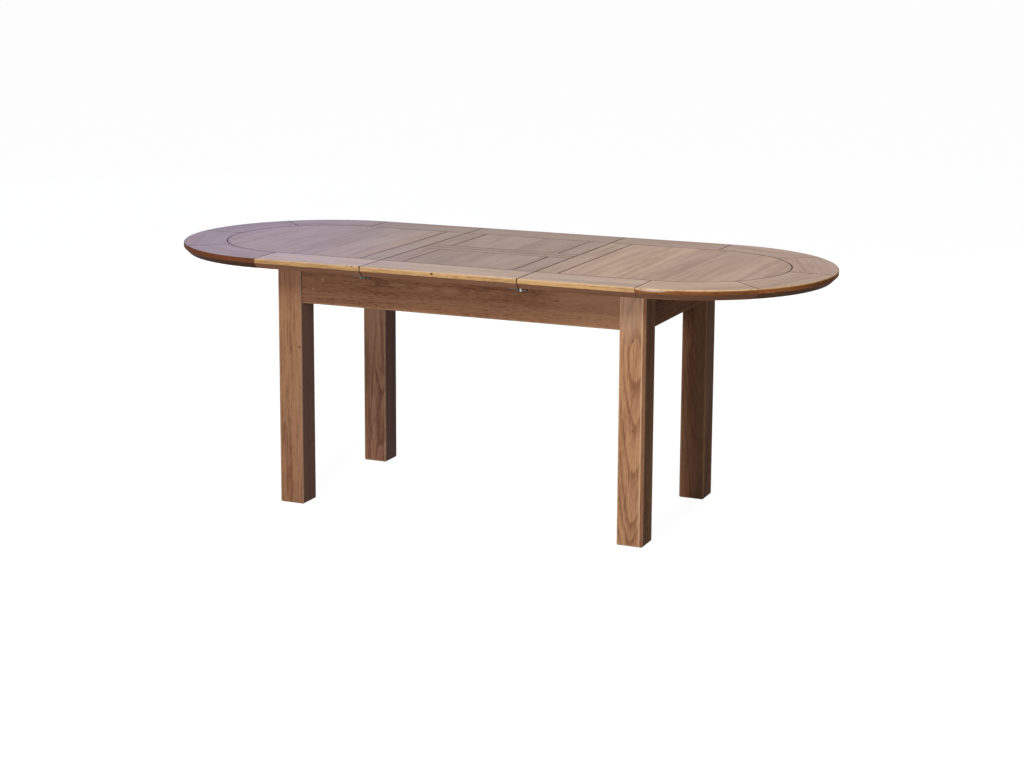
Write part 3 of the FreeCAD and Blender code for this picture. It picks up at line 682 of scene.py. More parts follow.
@dataclass(frozen=True)
class TopFinish:
    """Finish of the top: satin face, duller edge and bevel, and stain gathered in the joints' grooves."""

    face: OakFinish
    edge: OakFinish
    ring_edge: OakFinish
    bevel: OakFinish
    groove: OakFinish
    flat: float = 0.95
    steep: float = 0.3
    arc_centre: float = 0.605
    radius: float = 0.445
    rim: float = 0.004
    edge_fibre: float = 1.5
    edge_fleck: float = 1.8

    def dress(self, board: Board) -> None:
        """Dresses a board of the top, zone by zone.

        Args:
            board: Board to dress.
        """
        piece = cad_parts[board.node]
        edge = self.ring_edge if board.ring_edge else self.edge
        coarse = replace(board, fibre=self.edge_fibre, fleck=self.edge_fleck)
        wear(
            piece,
            self.face.mix(board, board.level, board.tint),
            edge.mix(coarse, 1.0, board.edge_tint),
            self.bevel.mix(board, board.bevel_level, NEUTRAL),
            self.groove.mix(board, 1.0, NEUTRAL),
        )
        for face in piece.data.polygons:
            face.material_index = self.zone(face).value
        LOG.info("%s: %s, board %d", board.node, self.face.name, board.seed)

    def zone(self, face: bpy.types.MeshPolygon) -> Zone:
        """Tells the zones of a board apart by the way its faces look.

        Args:
            face: Face of the board.

        Returns:
            The zone that the face belongs to.
        """
        if face.normal.z > self.flat:
            return Zone.FACE
        if face.normal.z < -self.steep:
            return Zone.BEVEL
        past = max(abs(face.center.x) - self.arc_centre, 0.0)
        inside = math.hypot(past, face.center.y) < self.radius - self.rim
        return Zone.GROOVE if face.normal.z > self.steep and inside else Zone.EDGE


@dataclass(frozen=True)
class SmoothFinish:
    """Metal or moulded plastic with drawn lines and dull patches."""

    name: str
    bright: Colour
    dull: Colour
    roughness: float
    stretch: Triple
    metallic: float = 1.0
    depth: float = 0.22
    bump: float = 0.05
    bump_depth: float = 0.0005

    def dress(self, piece: bpy.types.Object) -> None:
        """Dresses a piece in this finish.

        Args:
            piece: Node or new piece to dress.
        """
        coat = Coat(f"{piece.name}_{self.name}")
        graph = coat.graph
        place = graph.node("TexCoord").outputs["Object"]
        feeds = {"Vector": place, "Stretch": self.stretch, "Roughness": self.roughness, "Depth": self.depth}
        drawn = BRUSHING.place(graph, feeds)
        colour = graph.mix(drawn["Shade"], opaque(self.dull), opaque(self.bright))
        coat.lay(colour, drawn, self.bump, self.bump_depth)
        coat.feed("Metallic", self.metallic)
        wear(piece, coat.material)
        LOG.info("%s: %s", piece.name, self.name)


MATT = {"roughness": 0.5, "specular": 0.02}
# Rubbed edge colours, partly real wear and partly a painted highlight on the arrises; the ring one paints the
# golden highlight along the upper edge of the right half's curved boards.
EDGE_RUB_AND_HIGHLIGHT, RING_RUB_AND_HIGHLIGHT = (0.66, 0.45, 0.26), (0.82, 0.54, 0.27)
JOINT_BROWN, JOINT_DARK = (0.036, 0.013, 0.006), (0.020, 0.007, 0.004)
TOP_OAK = TopFinish(
    OakFinish("top_face", (0.40, 0.285, 0.19), (0.235, 0.145, 0.088), roughness=0.40, specular=0.12),
    OakFinish("top_edge", (0.56, 0.335, 0.15), (0.29, 0.145, 0.057), EDGE_RUB_AND_HIGHLIGHT, **MATT),
    OakFinish("ring_edge", (0.27, 0.125, 0.058), (0.16, 0.065, 0.03), RING_RUB_AND_HIGHLIGHT, edge_width=0.006, **MATT),
    OakFinish(
        "top_bevel",
        pale=(0.30, 0.145, 0.083),
        deep=(0.21, 0.098, 0.056),
        worn=(0.34, 0.17, 0.09),
        roughness=0.55,
        specular=0.02,
    ),
    OakFinish("top_groove", JOINT_BROWN, JOINT_DARK, stain=JOINT_BROWN, roughness=0.9, specular=0.0),
)
BASE_OAK = OakFinish(
    "base_oak",
    pale=(0.42, 0.213, 0.113),
    deep=(0.225, 0.097, 0.052),
    # Rubbed arris colour, lightened as a painted highlight too.
    worn=(0.60, 0.35, 0.185),
    roughness=0.55,
    specular=0.015,
    edge_width=0.007,
    knot_colour=(0.16, 0.07, 0.04),
)
PLANED_WOOD = OakFinish(
    "planed_wood",
    pale=(0.52, 0.36, 0.20),
    deep=(0.38, 0.24, 0.125),
    worn=(0.55, 0.38, 0.22),
    roughness=0.68,
    specular=0.15,
)
ROLLED, DRAWN, TURNED = (30.0, 1800.0, 1800.0), (300.0, 900.0, 900.0), (900.0, 60.0, 900.0)
PLATED, MOULDED = (400.0, 400.0, 400.0), (1500.0, 1500.0, 1500.0)
SLIDE_STEEL = SmoothFinish("slide_steel", (0.58, 0.58, 0.57), (0.42, 0.42, 0.42), 0.38, ROLLED)
ZINC = SmoothFinish("zinc", (0.30, 0.30, 0.295), (0.18, 0.18, 0.18), 0.4, PLATED)
CATCH_STEEL = SmoothFinish("catch_steel", (0.17, 0.16, 0.15), (0.07, 0.065, 0.06), 0.42, DRAWN)
BRIGHT_STEEL = SmoothFinish("bright_steel", (0.56, 0.54, 0.52), (0.38, 0.365, 0.35), 0.36, DRAWN)
BRASS = SmoothFinish("brass", (0.74, 0.55, 0.26), (0.5, 0.36, 0.16), 0.34, TURNED)
KNOB_PLASTIC = SmoothFinish("knob_plastic", (0.030, 0.027, 0.025), (0.018, 0.016, 0.015), 0.45, MOULDED, 0.0)


@dataclass
class Screw:
    """Raised-head screw with a cross recess, modelled once and copied to each place."""

    diameter: float = 0.0065
    height: float = 0.0018
    rounding: float = 0.0009
    rounding_steps: int = 3
    recess_share: float = 0.62
    recess_taper: float = 0.8
    recess_depth: float = 0.0011
    waist_share: float = 0.34
    arm_corners: float = 1.2
    sunk: float = 0.0002
    corners: int = 24
    flat: float = 0.99
    smooth_below: float = math.radians(35.0)
    twist: float = math.radians(37.0)
    pattern: bpy.types.Object = field(init=False)

    def __post_init__(self) -> None:
        """Models the head, with its seat at the origin and its top up."""
        bpy.ops.object.select_all(action="DESELECT")
        seat = self.height / 2 - self.sunk
        bpy.ops.mesh.primitive_cylinder_add(
            vertices=self.corners, radius=self.diameter / 2, depth=self.height, location=(0.0, 0.0, seat)
        )
        self.pattern = bpy.context.object
        self.pattern.name = "screw_pattern"
        bpy.ops.object.transform_apply(location=True, rotation=False, scale=False)
        bpy.ops.object.mode_set(mode="EDIT")
        self.select_top()
        bpy.ops.mesh.bevel(offset=self.rounding, segments=self.rounding_steps, affect="EDGES")
        self.select_top()
        rim = self.diameter / 2 - self.rounding
        bpy.ops.mesh.inset(thickness=rim * (1 - self.recess_share), use_boundary=True)
        self.pinch_waist()
        self.select_top()
        bpy.ops.mesh.extrude_region_move(TRANSFORM_OT_translate={"value": (0.0, 0.0, -self.recess_depth)})
        self.draw_in(self.recess_taper)
        bpy.ops.mesh.select_all(action="SELECT")
        bpy.ops.mesh.normals_make_consistent(inside=False)
        bpy.ops.object.mode_set(mode="OBJECT")
        bpy.ops.object.shade_smooth_by_angle(angle=self.smooth_below)

    def draw_in(self, share: float) -> None:
        """Draws what is selected in towards the screw's axis."""
        bpy.ops.transform.resize(value=(share, share, 1.0), center_override=(0.0, 0.0, 0.0))

    def select_top(self) -> None:
        """Selects the flat face in the middle of the top, in edit mode."""
        bpy.ops.mesh.select_mode(type="FACE")
        bpy.ops.mesh.select_all(action="DESELECT")
        bpy.ops.object.mode_set(mode="OBJECT")
        faces = [face for face in self.pattern.data.polygons if face.normal.z > self.flat]
        middle = min(faces, key=lambda face: face.center.xy.length)
        middle.select = True
        bpy.ops.object.mode_set(mode="EDIT")

    def pinch_waist(self) -> None:
        """Draws the corners between the four arms of the recess in towards the middle."""
        bpy.ops.mesh.select_mode(type="VERT")
        bpy.ops.object.mode_set(mode="OBJECT")
        arm = math.radians(360.0 / self.corners) * self.arm_corners
        for corner in self.pattern.data.vertices:
            if corner.select:
                angle = math.atan2(corner.co.y, corner.co.x)
                off_arm = abs((angle + math.pi / 4) % (math.pi / 2) - math.pi / 4)
                corner.select = off_arm > arm
        bpy.ops.object.mode_set(mode="EDIT")
        self.draw_in(self.waist_share / self.recess_share)

    def drive(self, name: str, body: str, places: list[Vector], facing: Vector = DOWN) -> None:
        """Copies the screw to each place, joins the copies into one piece and dresses it.

        Args:
            name: Name of the piece.
            body: Body that it rides on.
            places: Points on the surface that the heads sit on.
            facing: Way that the heads look.
        """
        bpy.ops.object.select_all(action="DESELECT")
        turn = (-DOWN).rotation_difference(facing).to_matrix().to_4x4()
        for count, place in enumerate(places):
            copy = self.pattern.copy()
            copy.data = self.pattern.data.copy()
            twist = Matrix.Rotation(self.twist * count, 4, "Z")
            copy.data.transform(Matrix.Translation(place) @ turn @ twist)
            bpy.context.scene.collection.objects.link(copy)
            copy.select_set(True)
            bpy.context.view_layer.objects.active = copy
        bpy.ops.object.join()
        piece = bpy.context.object
        piece.name = name
        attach(piece, body)
        LOG.info("%s: %d screws on %s", name, len(places), body)
        ZINC.dress(piece)

    def put_away(self) -> None:
        """Removes the pattern once the copies are made."""
        bpy.data.objects.remove(self.pattern)


@dataclass
class Base:
    """Legs, aprons, stow well, corner fixings and slide tracks."""

    screw: Screw
    leg_half: float = 0.04
    lamella: float = 0.033
    front_lamella: float = 0.014
    crest_height: float = 0.169
    full_height: float = 3.0
    apron_face: float = -0.313
    # Width of the painted shade at each end of the long aprons, in the gap where they meet the legs.
    apron_stain: float = 0.0035
    track_wall: float = 0.003
    track_screw_gap: float = 0.2
    track_screw_steps: tuple[int, ...] = (-2, -1, 0, 1, 2)
    body: str = "base"

    def build(self) -> None:
        """Drives the screws that hold the tracks to the aprons."""
        low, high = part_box("slide_tracks")
        level = (low.z + high.z) / 2
        for side in Side:
            wall = side.value * (high.y - self.track_wall)
            places = [Vector((step * self.track_screw_gap, wall, level)) for step in self.track_screw_steps]
            facing = Vector((0.0, -side.value, 0.0))
            self.screw.drive(f"{side.word}_track_screws", self.body, places, facing)

    def dress(self) -> None:
        """Dresses every node of the base."""
        for board in (*self.legs(), *self.aprons()):
            BASE_OAK.dress(board)
        for board in self.inner_boards():
            PLANED_WOOD.dress(board)
        SLIDE_STEEL.dress(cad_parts["slide_tracks"])
        ZINC.dress(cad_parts["corner_bolts"])

    def legs(self) -> list[Board]:
        """Cuts the legs, each glued up from three lamellas.

        Returns:
            The four legs.
        """
        glue_line = self.front_lamella + self.lamella / 2 - self.leg_half
        shift = (0.0, glue_line, 0.0)
        common = {"turn": Grain.UPRIGHT.value, "strip": self.lamella, "variety": 0.18, "fleck": 1.2}
        full = self.full_height
        # Painted shade: the inner side face of each left leg recoloured darker and cooler.
        painted_side_shade = {"radii": (0.006, 0.06, full), "strength": 0.7}
        return [
            Board(
                "front_left_leg",
                seed=11,
                level=0.87,
                pith=(0.02, -0.16),
                slope=(0.01, 0.01),
                shift=shift,
                figure=0.4,
                streak=0.9,
                fibre=3.0,
                marks=(
                    # Painted shadow of the top's overhang across the top of the front face.
                    Mark((-0.555, -0.320, 0.73), (0.08, 0.006, 0.12), (0.26, 0.125, 0.068), 0.4),
                    Mark((-0.524, -0.320, 0.494)),
                    Mark((-0.521, -0.320, 0.370), (0.0025, 0.003, 0.003)),
                    # Painted shade on the inner side face.
                    Mark((-0.515, -0.280, 0.37), colour=(0.195, 0.112, 0.098), **painted_side_shade),
                ),
                **common,
            ),
            Board(
                "front_right_leg",
                seed=24,
                tint=(1.0, 1.03, 1.0),
                pith=(0.10, 0.0),
                slope=(0.06, 0.0),
                crest=1.0,
                shift=(0.0, glue_line, self.crest_height),
                wander=0.02,
                figure=1.05,
                streak=0.6,
                fibre=2.2,
                marks=(
                    Mark((0.556, -0.320, 0.603)),
                    Mark((0.561, -0.320, 0.341), (0.0025, 0.003, 0.004)),
                    # Paler greyish patch at the top of the front face: partly paler wood, partly painted
                    # sheen.
                    Mark((0.548, -0.320, 0.71), (0.045, 0.006, 0.12), (0.44, 0.29, 0.20), 0.5),
                    # Painted shade on the rounded right corner of the front face, where it turns away from
                    # the light.
                    Mark((0.5905, -0.320, 0.37), (0.0045, 0.004, full), (0.20, 0.085, 0.045), 0.8),
                    # Painted highlight along the right arris of the front face.
                    Mark((0.5835, -0.320, 0.37), (0.0022, 0.004, full), (0.66, 0.42, 0.25), 0.7),
                ),
                **common,
            ),
            Board(
                "back_left_leg",
                seed=37,
                level=1.03,
                tint=(0.97, 0.98, 1.12),
                pith=(0.08, 0.015),
                slope=(0.03, 0.02),
                shift=shift,
                wander=0.07,
                figure=1.7,
                streak=1.5,
                fibre=3.4,
                marks=(
                    # Painted shade on the inner side face.
                    Mark((-0.515, 0.280, 0.37), colour=(0.18, 0.112, 0.105), **painted_side_shade),
                    # Painted light: lightens the top of the front face, where the top and the aprons shade
                    # it.
                    Mark((-0.565, 0.240, 0.60), (0.05, 0.006, 0.28), (0.50, 0.29, 0.18), 0.45),
                ),
                **common,
            ),
            Board(
                "back_right_leg",
                seed=42,
                level=1.03,
                tint=(1.0, 0.98, 1.03),
                pith=(0.09, 0.0),
                slope=(-0.06, 0.0),
                shift=shift,
                figure=1.0,
                streak=0.7,
                fibre=2.2,
                marks=(
                    Mark((0.579, 0.240, 0.179)),
                    # Painted light on the right part of the front face, against the shadow that the front
                    # right leg casts on it.
                    Mark((0.590, 0.240, 0.37), (0.035, 0.006, full), (0.50, 0.28, 0.165), 0.55),
                    # Painted shade on the lower left part of the front face, evening out that same cast
                    # shadow.
                    Mark((0.530, 0.240, 0.2), (0.035, 0.006, 0.35), (0.21, 0.105, 0.06), 0.5),
                ),
                **common,
            ),
        ]

    def aprons(self) -> list[Board]:
        """Cuts the aprons, the front one with the flecks and patches that show on it.

        Returns:
            The four aprons.
        """
        flat = {"pith": (0.09, 0.03), "figure": 0.3, "streak": 0.6, "fibre": 1.6, "fleck": 2.4, "mottle": 1.6}
        long = {"turn": Grain.LENGTH.value, "end_stain": self.apron_stain, **flat}
        short = {"turn": Grain.WIDTH.value, **flat}
        fleck, patch = (0.006, 0.004, 0.003), (0.03, 0.004, 0.006)
        pale = (0.34, 0.19, 0.105)
        face = self.apron_face
        marks = (
            Mark((-0.4427, face, 0.7064), fleck, pale),
            Mark((-0.4774, face, 0.6763), fleck, pale),
            Mark((-0.0973, face, 0.7058), patch, pale, 0.5),
            Mark((-0.0157, face, 0.7029), patch, pale, 0.5),
            Mark((-0.1896, face, 0.7096), patch, pale, 0.5),
            Mark((-0.1237, face, 0.6579), (0.003, 0.004, 0.003)),
            Mark((0.45, face, 0.68), (0.16, 0.01, 0.1), (0.46, 0.26, 0.145), 0.25),
        )
        reddish, golden = (1.0, 0.96, 0.98), (1.1, 0.96, 0.86)
        return [
            Board("front_apron", seed=51, slope=(0.02, 0.03), level=0.62, tint=reddish, marks=marks, **long),
            Board("back_apron", seed=52, slope=(-0.03, 0.01), level=0.8, **long),
            Board("left_apron", seed=53, slope=(0.03, 0.02), level=0.8, **short),
            Board("right_apron", seed=54, slope=(0.02, -0.03), level=0.75, tint=golden, **short),
        ]

    def inner_boards(self) -> list[Board]:
        """Cuts the planed boards inside the base.

        Returns:
            The cross rails and slats of the well, and the corner blocks.
        """
        return [
            Board("left_cross_rail", Grain.WIDTH.value, 61),
            Board("right_cross_rail", Grain.WIDTH.value, 62),
            Board("stow_slats", Grain.LENGTH.value, 63, worn=Worn.NOWHERE),
            Board("corner_blocks", Grain.LENGTH.value, 64, worn=Worn.NOWHERE),
        ]


RIFT_CUT = {"pith": (0.30, -0.05), "slope": (0.012, 0.006), "wander": 0.012, "figure": 0.2, "streak": 0.65}
GLUED_UP = {"unevenness": 0.6, "worn": Worn.NOWHERE}
JOINT_STAIN = 0.0026
BACK_SHADE = 0.97


def cut_boards(owner: str, first_seed: int, pieces: list[tuple[str, Triple, Looks]]) -> list[Board]:
    """Returns boards from the name, turn and looks of each, with a seed to each in turn."""
    seeded = enumerate(pieces, first_seed)
    return [Board(f"{owner}_{piece}", turn, seed, **looks) for seed, (piece, turn, looks) in seeded]


@dataclass
class HalfTop:
    """One sliding half of the top with its runners and leaf supports."""

    screw: Screw
    end: End
    first_seed: int
    level: float
    # The front rail is lighter and bluer: partly a paler board, partly a painted sheen.
    rail_level: float
    tint: Colour
    rail_tint: Colour
    back_tint: Colour
    streak: float
    ring_share: float = 1.05
    # Painted light: how much lighter the front curved board's face is made than the half's level.
    lit_share: float = 1.22
    panel_board: float = 0.125
    runner_flange_middle: float = 0.252
    runner_flange: float = 0.004
    runner_screw_margin: float = 0.02
    support_width: float = 0.06
    support_screw_margin: float = 0.014

    @property
    def body(self) -> str:
        """Body that the half-top's nodes ride on."""
        return f"{self.end.word}_top"

    def node(self, name: str) -> bpy.types.Object:
        """Returns one of the half-top's nodes."""
        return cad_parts[f"{self.end.word}_{name}"]

    def build(self) -> None:
        """Drives the screws of the runners and the leaf supports."""
        low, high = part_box(f"{self.end.word}_runners")
        under = high.z - self.runner_flange
        span = high.x - low.x - 2 * self.runner_screw_margin
        xs = [low.x + self.runner_screw_margin + span * share for share in (0.0, 0.5, 1.0)]
        ys = [side.value * self.runner_flange_middle for side in Side]
        places = [Vector((x, y, under)) for x in xs for y in ys]
        self.screw.drive(f"{self.end.word}_runner_screws", self.body, places)

        low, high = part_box(f"{self.end.word}_leaf_supports")
        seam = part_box(f"{self.end.word}_seam_stile")
        outer = high.x if self.end is End.RIGHT else low.x
        inner = seam[0].x if self.end is End.RIGHT else seam[1].x
        inset = self.end.value * self.support_screw_margin
        rows = (high.y - self.support_screw_margin, high.y - self.support_width + self.support_screw_margin)
        ys = [side.value * row for row in rows for side in Side]
        places = [Vector((x, y, low.z)) for x in (outer - inset, inner + inset) for y in ys]
        self.screw.drive(f"{self.end.word}_support_screws", self.body, places)

    def dress(self) -> None:
        """Dresses every node of the half-top."""
        for board in self.boards():
            TOP_OAK.dress(board)
        SLIDE_STEEL.dress(self.node("runners"))
        ZINC.dress(self.node("leaf_supports"))

    def boards(self) -> list[Board]:
        """Cuts the rails, the stile, the panel and the curved boards of the rounded end.

        Returns:
            The boards, each with the next seed.
        """
        cut = {**RIFT_CUT, "level": self.level, "tint": self.tint, "streak": self.streak}
        straight = {**cut, "end_stain": JOINT_STAIN}
        # Lighter, bluer front rail: partly a paler board, partly a painted sheen.
        front_rail = {**straight, "level": self.rail_level, "tint": self.rail_tint}
        back_rail = {**straight, "level": self.level * BACK_SHADE, "tint": self.back_tint}
        if self.end is End.LEFT:
            pits = ((-0.291, -0.445, 0.779), (-0.276, -0.445, 0.778), (-0.252, -0.445, 0.779))
            front_rail["marks"] = tuple(Mark(pit, (0.003, 0.004, 0.0015)) for pit in pits)
        pieces = [
            ("front_rail", Grain.LENGTH.value, front_rail),
            ("back_rail", Grain.LENGTH.value, back_rail),
            ("seam_stile", Grain.WIDTH.value, straight),
            ("panel", Grain.WIDTH.value, {**cut, **GLUED_UP, "strip": self.panel_board, "variety": 0.2}),
        ]
        ring = ("front_ring", "front_tip", "back_tip", "back_ring")
        for place, piece in enumerate(ring):
            chord = (place + 0.5) * math.pi / len(ring)
            turn = chord if self.end is End.RIGHT else math.tau - chord
            pieces.append((piece, (0.0, 0.0, turn), {**cut, "ring_edge": True, **self.rim(piece)}))
        return cut_boards(self.end.word, self.first_seed, pieces)

    def rim(self, piece: str) -> Looks:
        """Tells what sets a curved board apart: on the right half a painted golden highlight along the upper
        edge, edges lightened at the tips as painted light, a painted highlight near the front joint and
        bevels darkened as painted shade; on the left a darker, redder edge and a bevel darkened as painted
        shade.

        Args:
            piece: Name of the curved board.

        Returns:
            Fields of the board.
        """
        if self.end is End.LEFT:
            # Darker, redder edge of its own; the bevel darkened as painted shade.
            return {"edge_tint": (0.69, 0.50, 0.465), "bevel_level": 0.33, "worn": Worn.NOWHERE}
        tip = piece.endswith("tip")
        # Painted highlight on the upper edge where the front curved board meets the straight rail.
        painted_highlight = Mark((0.655, -0.442, 0.7755), (0.045, 0.03, 0.004), (0.66, 0.52, 0.40), 0.7)
        return {
            # Painted light: the tips' edges lighter, a painted golden highlight along the upper edge, the
            # bevels darkened as painted shade.
            "edge_tint": (1.55, 1.2, 0.82) if tip else (0.92, 0.74, 0.54),
            "bevel_level": 0.56 if tip else 0.8,
            "worn": Worn.UPPER_EDGE,
            "marks": (painted_highlight,) if piece == "front_ring" else (),
            "level": self.level * (self.lit_share if piece == "front_ring" else self.ring_share),
            "tint": self.back_tint if piece.startswith("back") else self.tint,
        }


@dataclass
class LeafHalf:
    """One half of the folding leaf with its hinge barrels."""

    side: Side
    first_seed: int
    level: float = 0.79
    # The outer front rail is lighter and bluer: partly a paler board, partly a painted sheen.
    rail_level: float = 1.29
    tint: Colour = (1.08, 0.968, 1.06)
    rail_tint: Colour = (1.01, 1.01, 1.12)
    fold_tint: Colour = (1.1, 0.94, 1.0)
    panel_board: float = 0.13

    @property
    def body(self) -> str:
        """Body that the half's nodes ride on."""
        return f"leaf_{self.side.word}"

    def dress(self) -> None:
        """Dresses every node of this half of the leaf."""
        for board in self.boards():
            TOP_OAK.dress(board)
        BRASS.dress(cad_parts[f"{self.body}_hinges"])

    def boards(self) -> list[Board]:
        """Cuts the rails, the stiles and the panel.

        Returns:
            The boards, each with the next seed.
        """
        cut = {**RIFT_CUT, "level": self.level, "tint": self.tint}
        straight = {**cut, "end_stain": JOINT_STAIN}
        outer_rail = {**straight, "level": self.level * BACK_SHADE}
        fold_rail = {**cut, "tint": self.fold_tint}
        if self.side is Side.FRONT:
            knot = Mark((-0.0157, -0.445, 0.7745), (0.005, 0.005, 0.004))
            chip = Mark((0.0336, -0.445, 0.7696), (0.004, 0.004, 0.002), strength=0.35)
            # Lighter, bluer front rail: partly a paler board, partly a painted sheen.
            outer_rail |= {"level": self.rail_level, "tint": self.rail_tint, "marks": (knot, chip)}
        pieces = [
            ("outer_rail", Grain.LENGTH.value, outer_rail),
            ("fold_rail", Grain.LENGTH.value, fold_rail),
            ("left_stile", Grain.WIDTH.value, straight),
            ("right_stile", Grain.WIDTH.value, straight),
            ("panel", Grain.WIDTH.value, {**cut, **GLUED_UP, "strip": self.panel_board, "variety": 0.26}),
        ]
        return cut_boards(self.body, self.first_seed, pieces)


@dataclass
class Catches:
    """The four seam catches: housings, keepers, sliding bolts and knobs."""

    screw: Screw
    plate: float = 0.002
    screw_margin: float = 0.0045
    screw_spread: float = 0.0035

    def build(self) -> None:
        """Drives two screws through the plate of each keeper."""
        low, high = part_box("left_back_catch_bolt")
        line = (low.y + high.y) / 2
        spread = (-self.screw_spread, self.screw_spread)
        keepers = {"left_catch_keepers": "left_top"}
        keepers |= {f"leaf_{side.word}_catch_keeper": f"leaf_{side.word}" for side in Side}
        for keeper, body in keepers.items():
            low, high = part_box(keeper)
            rows = [side.value * line + step for side in Side for step in spread]
            corner = Vector((low.x + self.screw_margin, 0.0, high.z - self.plate))
            places = [corner + Vector((0.0, row, 0.0)) for row in rows if low.y < row < high.y]
            self.screw.drive(f"{keeper}_screws", body, places)

    def dress(self) -> None:
        """Dresses the housings, keepers, bolts and knobs."""
        BRIGHT_STEEL.dress(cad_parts["right_catch_bodies"])
        CATCH_STEEL.dress(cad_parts["left_catch_keepers"])
        for side in Side:
            for fitting in ("catch_body", "catch_keeper"):
                CATCH_STEEL.dress(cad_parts[f"leaf_{side.word}_{fitting}"])
            for end in End:
                name = f"{end.word}_{side.word}_catch"
                CATCH_STEEL.dress(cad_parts[f"{name}_bolt"])
                KNOB_PLASTIC.dress(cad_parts[f"{name}_knob"])


@dataclass(frozen=True)
class Softbox:
    """Soft studio lamp with an even rectangular face."""

    name: str
    place: Triple
    aim: Triple
    width: float
    height: float
    watts: float
    tint: Colour = NEUTRAL
    mirrored: bool = True

    def build(self) -> None:
        """Hangs the lamp at its place and turns it to its aim."""
        lamp = bpy.data.lights.new(self.name, "AREA")
        lamp.shape = "RECTANGLE"
        lamp.size = self.width
        lamp.size_y = self.height
        lamp.energy = self.watts
        lamp.color = self.tint
        stand = bpy.data.objects.new(self.name, lamp)
        turn = (Vector(self.aim) - Vector(self.place)).to_track_quat("-Z", "Y")
        stand.matrix_world = Matrix.Translation(self.place) @ turn.to_matrix().to_4x4()
        stand.visible_camera = False
        stand.visible_glossy = self.mirrored
        bpy.context.scene.collection.objects.link(stand)
        LOG.info("%s: %.0f W", self.name, self.watts)


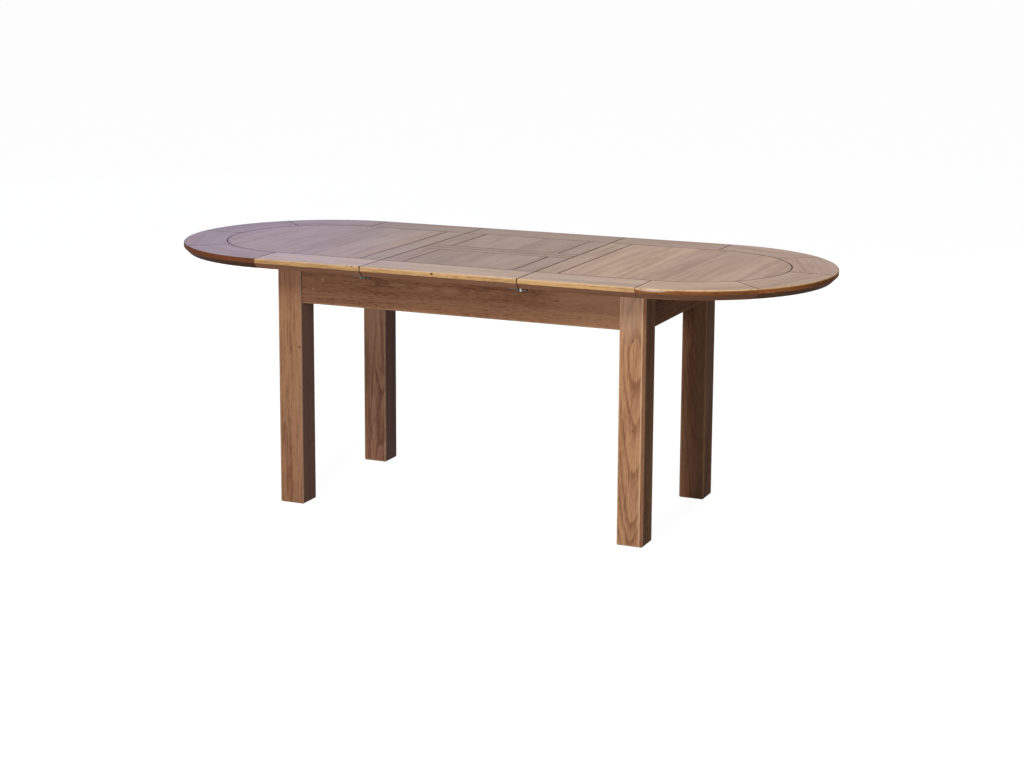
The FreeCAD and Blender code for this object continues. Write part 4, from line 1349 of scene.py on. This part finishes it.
@dataclass
class Studio:
    """White floor and surroundings, soft lamps and the camera at the photograph's place."""

    floor_reach: float = 90.0
    floor_colour: Colour = (0.86, 0.86, 0.86)
    floor_roughness: float = 0.9
    bounce_colour: Colour = (0.3, 0.3, 0.3)
    white_share: float = 0.75
    white_strength: float = 1.27
    sky: float = 0.15
    image_width: float = 1024.0
    image_height: float = 768.0
    focal_pixels: float = 2022.2
    axis_pixel: tuple[float, float] = (507.5, 284.0)
    yaw: float = math.radians(23.515)
    pitch: float = math.radians(9.696)
    roll: float = math.radians(0.283)
    eye: Triple = (2.4715, -5.6133, 1.7260)
    sensor: float = 36.0
    lamps: tuple[Softbox, ...] = (
        Softbox("low_key", (0.36, -4.4, 1.2), (0.0, 0.0, 0.55), 0.6, 0.7, 92.0, mirrored=False),
        Softbox("high_key", (0.36, -3.9, 3.4), (0.0, 0.0, 0.65), 0.7, 1.3, 82.0),
        Softbox("top_light", (0.7, 0.1, 2.8), (0.7, 0.0, 0.78), 1.0, 1.0, 21.0),
        Softbox("cool_fill", (-6.0, 6.5, 2.4), (-0.8, 0.0, 0.78), 4.0, 3.5, 45.0, (0.08, 0.1, 1.0)),
        Softbox("back_light", (-2.2, 4.6, 0.45), (0.0, 0.0, 0.45), 2.5, 0.6, 90.0),
    )

    def build(self) -> None:
        """Builds the surroundings, floor, lamps and camera."""
        self.build_world()
        self.build_floor()
        for lamp in self.lamps:
            lamp.build()
        self.build_camera()

    def seen_directly(self, graph: Graph) -> Socket:
        """Tells what the camera sees from what only lights the scene.

        Args:
            graph: Graph of a material or of the surroundings.

        Returns:
            1 for what the camera sees itself, by reflection or through glass, and 0 for the rest.
        """
        path = graph.node("LightPath").outputs
        mirrored = graph.math("MAXIMUM", path["Is Glossy Ray"], path["Is Transmission Ray"])
        return graph.math("MAXIMUM", path["Is Camera Ray"], mirrored)

    def build_world(self) -> None:
        """Makes surroundings that look white and light the table softly."""
        world = bpy.data.worlds.new("studio")
        world.use_nodes = True
        world.node_tree.nodes.clear()
        graph = Graph(world.node_tree)
        light = graph.node("Background", {"Color": opaque(NEUTRAL), "Strength": self.sky})
        white = graph.node("Background", {"Color": opaque(NEUTRAL), "Strength": 1.0})
        feeds = {0: self.seen_directly(graph), 1: light.outputs[0], 2: white.outputs[0]}
        graph.node("OutputWorld", {"Surface": graph.node("MixShader", feeds).outputs[0]})
        bpy.context.scene.world = world

    def build_floor(self) -> None:
        """Lays a white floor that keeps a soft shadow and can be looked through from below."""
        bpy.ops.object.select_all(action="DESELECT")
        bpy.ops.mesh.primitive_plane_add(size=2 * self.floor_reach)
        floor = bpy.context.object
        floor.name = "floor"
        coat = Coat("floor_white")
        graph = coat.graph
        tone = graph.mix(self.seen_directly(graph), opaque(self.bounce_colour), opaque(self.floor_colour))
        coat.feed("Base Color", tone)
        coat.feed("Roughness", self.floor_roughness)
        coat.feed("Specular IOR Level", 0.0)
        share = graph.math("MULTIPLY", self.seen_directly(graph), self.white_share)
        white = graph.node("Emission", {"Strength": self.white_strength})
        lit = graph.node("MixShader", {0: share, 1: coat.shader.outputs[0], 2: white.outputs[0]})
        clear = graph.node("BsdfTransparent")
        below = graph.node("NewGeometry").outputs["Backfacing"]
        both = graph.node("MixShader", {0: below, 1: lit.outputs[0], 2: clear.outputs[0]})
        graph.feed(coat.output.inputs["Surface"], both.outputs[0])
        wear(floor, coat.material)

    def build_camera(self) -> None:
        """Sets the camera up at the photograph's angle."""
        lens = bpy.data.cameras.new("camera")
        lens.sensor_width = self.sensor
        lens.lens = self.focal_pixels / self.image_width * self.sensor
        lens.shift_x = (self.image_width / 2 - self.axis_pixel[0]) / self.image_width
        lens.shift_y = (self.axis_pixel[1] - self.image_height / 2) / self.image_width
        turn = Matrix.Rotation(self.yaw, 4, "Z") @ Matrix.Rotation(math.pi / 2 - self.pitch, 4, "X")
        camera = bpy.data.objects.new("camera", lens)
        camera.matrix_world = Matrix.Translation(self.eye) @ turn @ Matrix.Rotation(self.roll, 4, "Z")
        bpy.context.scene.collection.objects.link(camera)
        bpy.context.scene.camera = camera
        bpy.context.scene.view_settings.view_transform = "Standard"


def main() -> None:
    """Builds and dresses the table, then its studio."""
    logging.basicConfig(level=logging.INFO, format="%(message)s")
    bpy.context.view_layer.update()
    screw = Screw()
    small_screw = Screw(diameter=0.0036, height=0.0010, rounding=0.0004, recess_depth=0.0006)
    left_top = HalfTop(
        screw,
        End.LEFT,
        first_seed=100,
        level=0.90,
        rail_level=1.43,
        tint=(1.01, 0.955, 1.02),
        rail_tint=(1.0, 1.02, 1.14),
        back_tint=(1.02, 0.95, 1.02),
        streak=0.65,
    )
    right_top = HalfTop(
        screw,
        End.RIGHT,
        first_seed=134,
        level=0.97,
        rail_level=1.12,
        tint=(1.02, 0.922, 0.915),
        rail_tint=(1.03, 1.0, 1.08),
        back_tint=(1.0, 0.87, 0.95),
        streak=1.25,
    )
    for part in (Base(screw), left_top, right_top):
        part.build()
        part.dress()
    for side, first_seed in ((Side.FRONT, 166), (Side.BACK, 179)):
        LeafHalf(side, first_seed).dress()
    catches = Catches(small_screw)
    catches.build()
    catches.dress()
    screw.put_away()
    small_screw.put_away()
    Studio().build()


if __name__ == "__main__":
    main()
